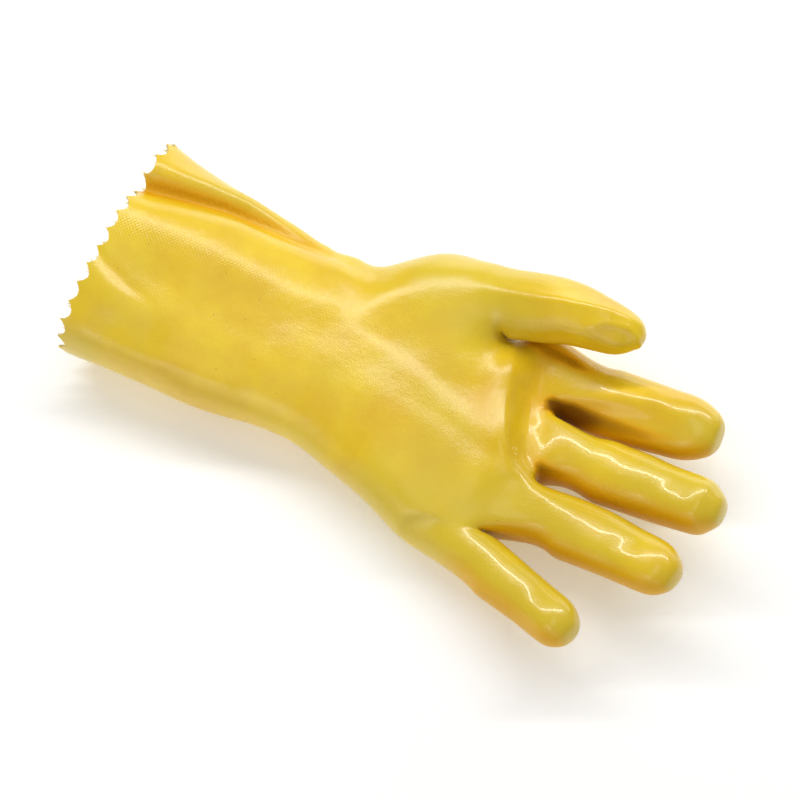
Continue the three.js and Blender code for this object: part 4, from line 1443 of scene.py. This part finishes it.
        # the painted shade goes to the material as a point attribute
        spreads = {"painted_shade": painted_shade, "printed": self.printed(points), "glossy": self.glossy(points)}
        for name, values in spreads.items():
            whole = np.zeros(len(places), np.float32)
            whole[:count] = values
            mesh.attributes.new(name, "FLOAT", "POINT").data.foreach_set("value", whole)
        mesh.update()
        self.sharpen(mesh, set(ring.tolist()), count)
        piece = bpy.data.objects.new("glove_coating_and_liner", mesh)
        bpy.context.scene.collection.objects.link(piece)
        log.info("glove: %d points, %d faces, box %s to %s mm", len(places), len(faces),
                 (places.min(axis=0) / MM).round(1).tolist(), (places.max(axis=0) / MM).round(1).tolist())
        return piece

    @staticmethod
    def sharpen(mesh: Mesh, ring: set[int], count: int) -> None:
        """Marks the two rims of the cut edge sharp, so that the wall shows how thick it is.

        Args:
            mesh: the mesh of the wall.
            ring: numbers of the outer rim's points.
            count: points of the outside, by which the inside's numbers are higher.
        """
        rims = ring | {i + count for i in ring}
        pairs = np.zeros(len(mesh.edges) * 2, np.int32)
        mesh.edges.foreach_get("vertices", pairs)
        pairs = pairs.reshape(-1, 2)
        on_rim = np.isin(pairs, list(rims)).all(axis=1)
        sharp = mesh.attributes.new("sharp_edge", "BOOLEAN", "EDGE")
        sharp.data.foreach_set("value", on_rim)


@dataclass(frozen=True)
class SoakedYarn:
    """Cotton yarn soaked with the coat where it was cut: pale yellow, matt."""

    colour: str = "#E2CA4C"
    roughness: float = 0.7

    def made(self) -> Material:
        """The material, one colour all over.

        Returns:
            The material.
        """
        material, shader = blank_material("resin_soaked_cotton_yarn")
        shader.inputs["Base Color"].default_value = linear(self.colour)
        shader.inputs["Roughness"].default_value = self.roughness
        return material


@dataclass
class YarnEnds:
    """Short ends of yarn that fray from the liner along the pinked cut."""

    spacing_mm: float = 0.7
    length_mm: float = 2.2
    radius_mm: float = 0.24       # a yarn is 0.15 mm in life, drawn coarser to show
    tip_mm: float = 0.04
    kept: float = 0.32            # share of the places that grow an end
    shortest: float = 0.35        # against the length
    longest: float = 1.2
    sides: int = 5
    lean: float = 0.35            # most that an end leans aside, in radians
    seed: int = 11
    finish: SoakedYarn = field(default_factory=SoakedYarn)

    def tree(self) -> NodeTree:
        """The node tree that sets tapered ends along a line, pointing out of the cuff.

        Returns:
            A tree with named inputs for spacing, length, radius, share kept and seed.
        """
        tree = bpy.data.node_groups.new("yarn_ends", "GeometryNodeTree")
        tree.interface.new_socket("Geometry", in_out="INPUT", socket_type="NodeSocketGeometry")
        for name in ("Spacing", "Length", "Radius", "Kept"):
            tree.interface.new_socket(name, in_out="INPUT", socket_type="NodeSocketFloat")
        tree.interface.new_socket("Seed", in_out="INPUT", socket_type="NodeSocketInt")
        tree.interface.new_socket("Geometry", in_out="OUTPUT", socket_type="NodeSocketGeometry")
        given = node(tree, "NodeGroupInput").outputs
        line = node(tree, "GeometryNodeMeshToCurve", None, {"Mesh": given["Geometry"]})
        spots = node(tree, "GeometryNodeCurveToPoints", {"mode": "LENGTH"},
                     {"Curve": line.outputs["Curve"], "Length": given["Spacing"]})
        end = node(tree, "GeometryNodeMeshCone", None,
                   {"Vertices": self.sides, "Radius Top": self.tip_mm * MM, "Radius Bottom": given["Radius"],
                    "Depth": given["Length"]})
        out = -math.pi / 2
        turn = node(tree, "FunctionNodeRandomValue", {"data_type": "FLOAT_VECTOR"},
                    {0: (-self.lean, out - self.lean, -self.lean), 1: (self.lean, out + self.lean, self.lean),
                     "Seed": given["Seed"]})
        grown = node(tree, "FunctionNodeRandomValue", {"data_type": "FLOAT"},
                     {2: self.shortest, 3: self.longest, "Seed": given["Seed"]})
        some = node(tree, "FunctionNodeRandomValue", {"data_type": "BOOLEAN"},
                    {"Probability": given["Kept"], "Seed": given["Seed"]})
        ends = node(tree, "GeometryNodeInstanceOnPoints", None,
                    {"Points": spots.outputs["Points"], "Selection": some.outputs[3],
                     "Instance": end.outputs["Mesh"], "Rotation": turn.outputs[0],
                     "Scale": grown.outputs[1]})
        real = node(tree, "GeometryNodeRealizeInstances", None, {"Geometry": ends.outputs["Instances"]})
        dressed = node(tree, "GeometryNodeSetMaterial", None,
                       {"Geometry": real.outputs["Geometry"], "Material": self.finish.made()})
        node(tree, "NodeGroupOutput", None, {"Geometry": dressed.outputs["Geometry"]})
        return tree

    def build(self, line: np.ndarray) -> Object:
        """Grows the ends from a closed line.

        Args:
            line: points of the cut edge in order, in metres.

        Returns:
            The piece as a plain mesh.
        """
        mesh = bpy.data.meshes.new("cut_line")
        count = len(line)
        mesh.from_pydata(line.tolist(), [(i, (i + 1) % count) for i in range(count)], [])
        piece = bpy.data.objects.new("frayed_yarn_ends", mesh)
        bpy.context.scene.collection.objects.link(piece)
        modifier = piece.modifiers.new("yarn_ends", "NODES")
        modifier.node_group = self.tree()
        values = {"Spacing": self.spacing_mm * MM, "Length": self.length_mm * MM,
                  "Radius": self.radius_mm * MM, "Kept": self.kept, "Seed": self.seed}
        for item in modifier.node_group.interface.items_tree:
            if item.in_out == "INPUT" and item.name in values:
                modifier[item.identifier] = values[item.name]
        graph = bpy.context.evaluated_depsgraph_get()
        plain = bpy.data.meshes.new_from_object(piece.evaluated_get(graph), depsgraph=graph)
        piece.modifiers.remove(modifier)
        piece.data = plain
        log.info("yarn ends: %d faces", len(plain.polygons))
        return piece


@dataclass
class Studio:
    """Pale floor, soft lights and the camera."""

    azimuth: float = 25.0
    elevation: float = 68.0
    distance: float = 0.832
    lens: float = 85.0
    sensor: float = 36.0
    target: tuple[float, float, float] = (0.148, -0.013, 0.030)
    centre: tuple[float, float, float] = (0.0, 0.0, 0.02)
    air: tuple[float, float, float, float] = (1.0, 0.99, 0.97, 1.0)
    air_strength: float = 0.29
    floor_size: float = 4.0
    floor_glow: float = 0.2
    floor_roughness: float = 0.9
    floor_specular: float = 0.1
    far: float = 20.0             # where the camera stops seeing, in metres
    tooth_mm: float = 2.5         # of the paper on the floor

    def axes(self) -> tuple[Vector, Vector, Vector]:
        """Right, up and back of the camera.

        Returns:
            Three unit vectors.
        """
        a, e = math.radians(self.azimuth), math.radians(self.elevation)
        back = Vector((math.sin(a) * math.cos(e), -math.cos(a) * math.cos(e), math.sin(e)))
        right = Vector((math.cos(a), math.sin(a), 0.0))
        return right, back.cross(right), back

    def build(self, shift: np.ndarray) -> None:
        """Makes the stage.

        Args:
            shift: from the tables' frame to the part's, in mm.
        """
        right, up, back = self.axes()
        target = Vector(self.target) + Vector(shift.tolist()) * MM
        data = bpy.data.cameras.new("camera")
        data.lens, data.sensor_width, data.clip_end = self.lens, self.sensor, self.far
        camera = bpy.data.objects.new("camera", data)
        rotation = Matrix((right, up, back)).transposed()
        camera.matrix_world = Matrix.Translation(target + back * self.distance) @ rotation.to_4x4()
        bpy.context.scene.collection.objects.link(camera)
        bpy.context.scene.camera = camera
        self.floor()
        centre = Vector(self.centre)
        # a thin key gives the line of light, and the cards give the broad sheens on the sleeve and the thumb
        self.softbox("key", centre + up * 0.75 + back * 0.55, centre, (1.5, 0.07), 7.0)
        self.card("sleeve_card", Vector((0.045, -0.34, 1.4)), Vector((0.045, -0.34, 0.0)), (0.31, 1.0), 1.25)
        self.card("thumb_card", Vector((-0.12, -0.94, 0.75)), Vector((0.08, 0.06, 0.05)), (0.45, 0.28), 3.0)
        self.softbox("sweep", centre + Vector((0.1, 1.15, 0.22)), centre, (1.5, 0.45), 3.4)
        self.card("bounce_card", Vector((0.05, -1.3, 0.45)), centre, (1.6, 0.5), 1.0)
        world = bpy.data.worlds.new("studio")
        world.use_nodes = True
        shade = world.node_tree.nodes["Background"]
        shade.inputs["Color"].default_value = self.air
        shade.inputs["Strength"].default_value = self.air_strength
        bpy.context.scene.world = world
        bpy.context.scene.view_settings.view_transform = "Standard"

    def floor(self) -> None:
        """A wide pale floor at the height the glove rests on."""
        mesh = bpy.data.meshes.new("floor")
        size = self.floor_size
        corners = [(-size, -size, 0), (size, -size, 0), (size, size, 0), (-size, size, 0)]
        mesh.from_pydata(corners, [], [(0, 1, 2, 3)])
        material, shader = blank_material("studio_paper")
        place = node(material, "ShaderNodeTexCoord").outputs["Object"]
        tooth = node(material, "ShaderNodeTexNoise", None,
                     {"Vector": place, "Scale": 1 / (self.tooth_mm * MM), "Detail": 2.0})
        colour = ramp(material, tooth.outputs["Fac"], [(0.0, linear("#F6F6F5")), (1.0, linear("#FFFFFF"))])
        material.node_tree.links.new(colour.outputs["Color"], shader.inputs["Base Color"])
        shader.inputs["Roughness"].default_value = self.floor_roughness
        shader.inputs["Specular IOR Level"].default_value = self.floor_specular
        shader.inputs["Emission Color"].default_value = (1.0, 1.0, 1.0, 1.0)
        shader.inputs["Emission Strength"].default_value = self.floor_glow
        mesh.materials.append(material)
        floor = bpy.data.objects.new("floor", mesh)
        bpy.context.scene.collection.objects.link(floor)

    @classmethod
    def card(cls, name: str, place: Vector, target: Vector, size: tuple[float, float],
             radiance: float) -> None:
        """A softbox given by how bright its face is.

        Args:
            name: its name.
            place: its middle.
            target: the point that it faces.
            size: width and height in metres.
            radiance: brightness of its face.
        """
        cls.softbox(name, place, target, size, radiance * math.pi * size[0] * size[1])

    @staticmethod
    def softbox(name: str, place: Vector, target: Vector, size: tuple[float, float], power: float) -> None:
        """One rectangular area light that looks at a point.

        Args:
            name: its name.
            place: its middle.
            target: the point that it faces.
            size: width and height in metres.
            power: in watts.
        """
        data = bpy.data.lights.new(name, "AREA")
        data.shape, data.size, data.size_y, data.energy = "RECTANGLE", size[0], size[1], power
        light = bpy.data.objects.new(name, data)
        turn = (place - target).to_track_quat("Z", "Y")
        light.matrix_world = Matrix.Translation(place) @ turn.to_matrix().to_4x4()
        bpy.context.scene.collection.objects.link(light)


def main() -> None:
    """Builds the glove and its stage in order."""
    logging.basicConfig(level=logging.INFO, format="%(message)s")
    shell = GloveShell()
    glove = shell.build()
    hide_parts("glove_shell")
    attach(glove, "root")
    ends = YarnEnds().build(shell.cut_line)
    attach(ends, "root")
    Studio().build(shell.shift(shell.form.built(1).points))


if __name__ == "__main__":
    main()
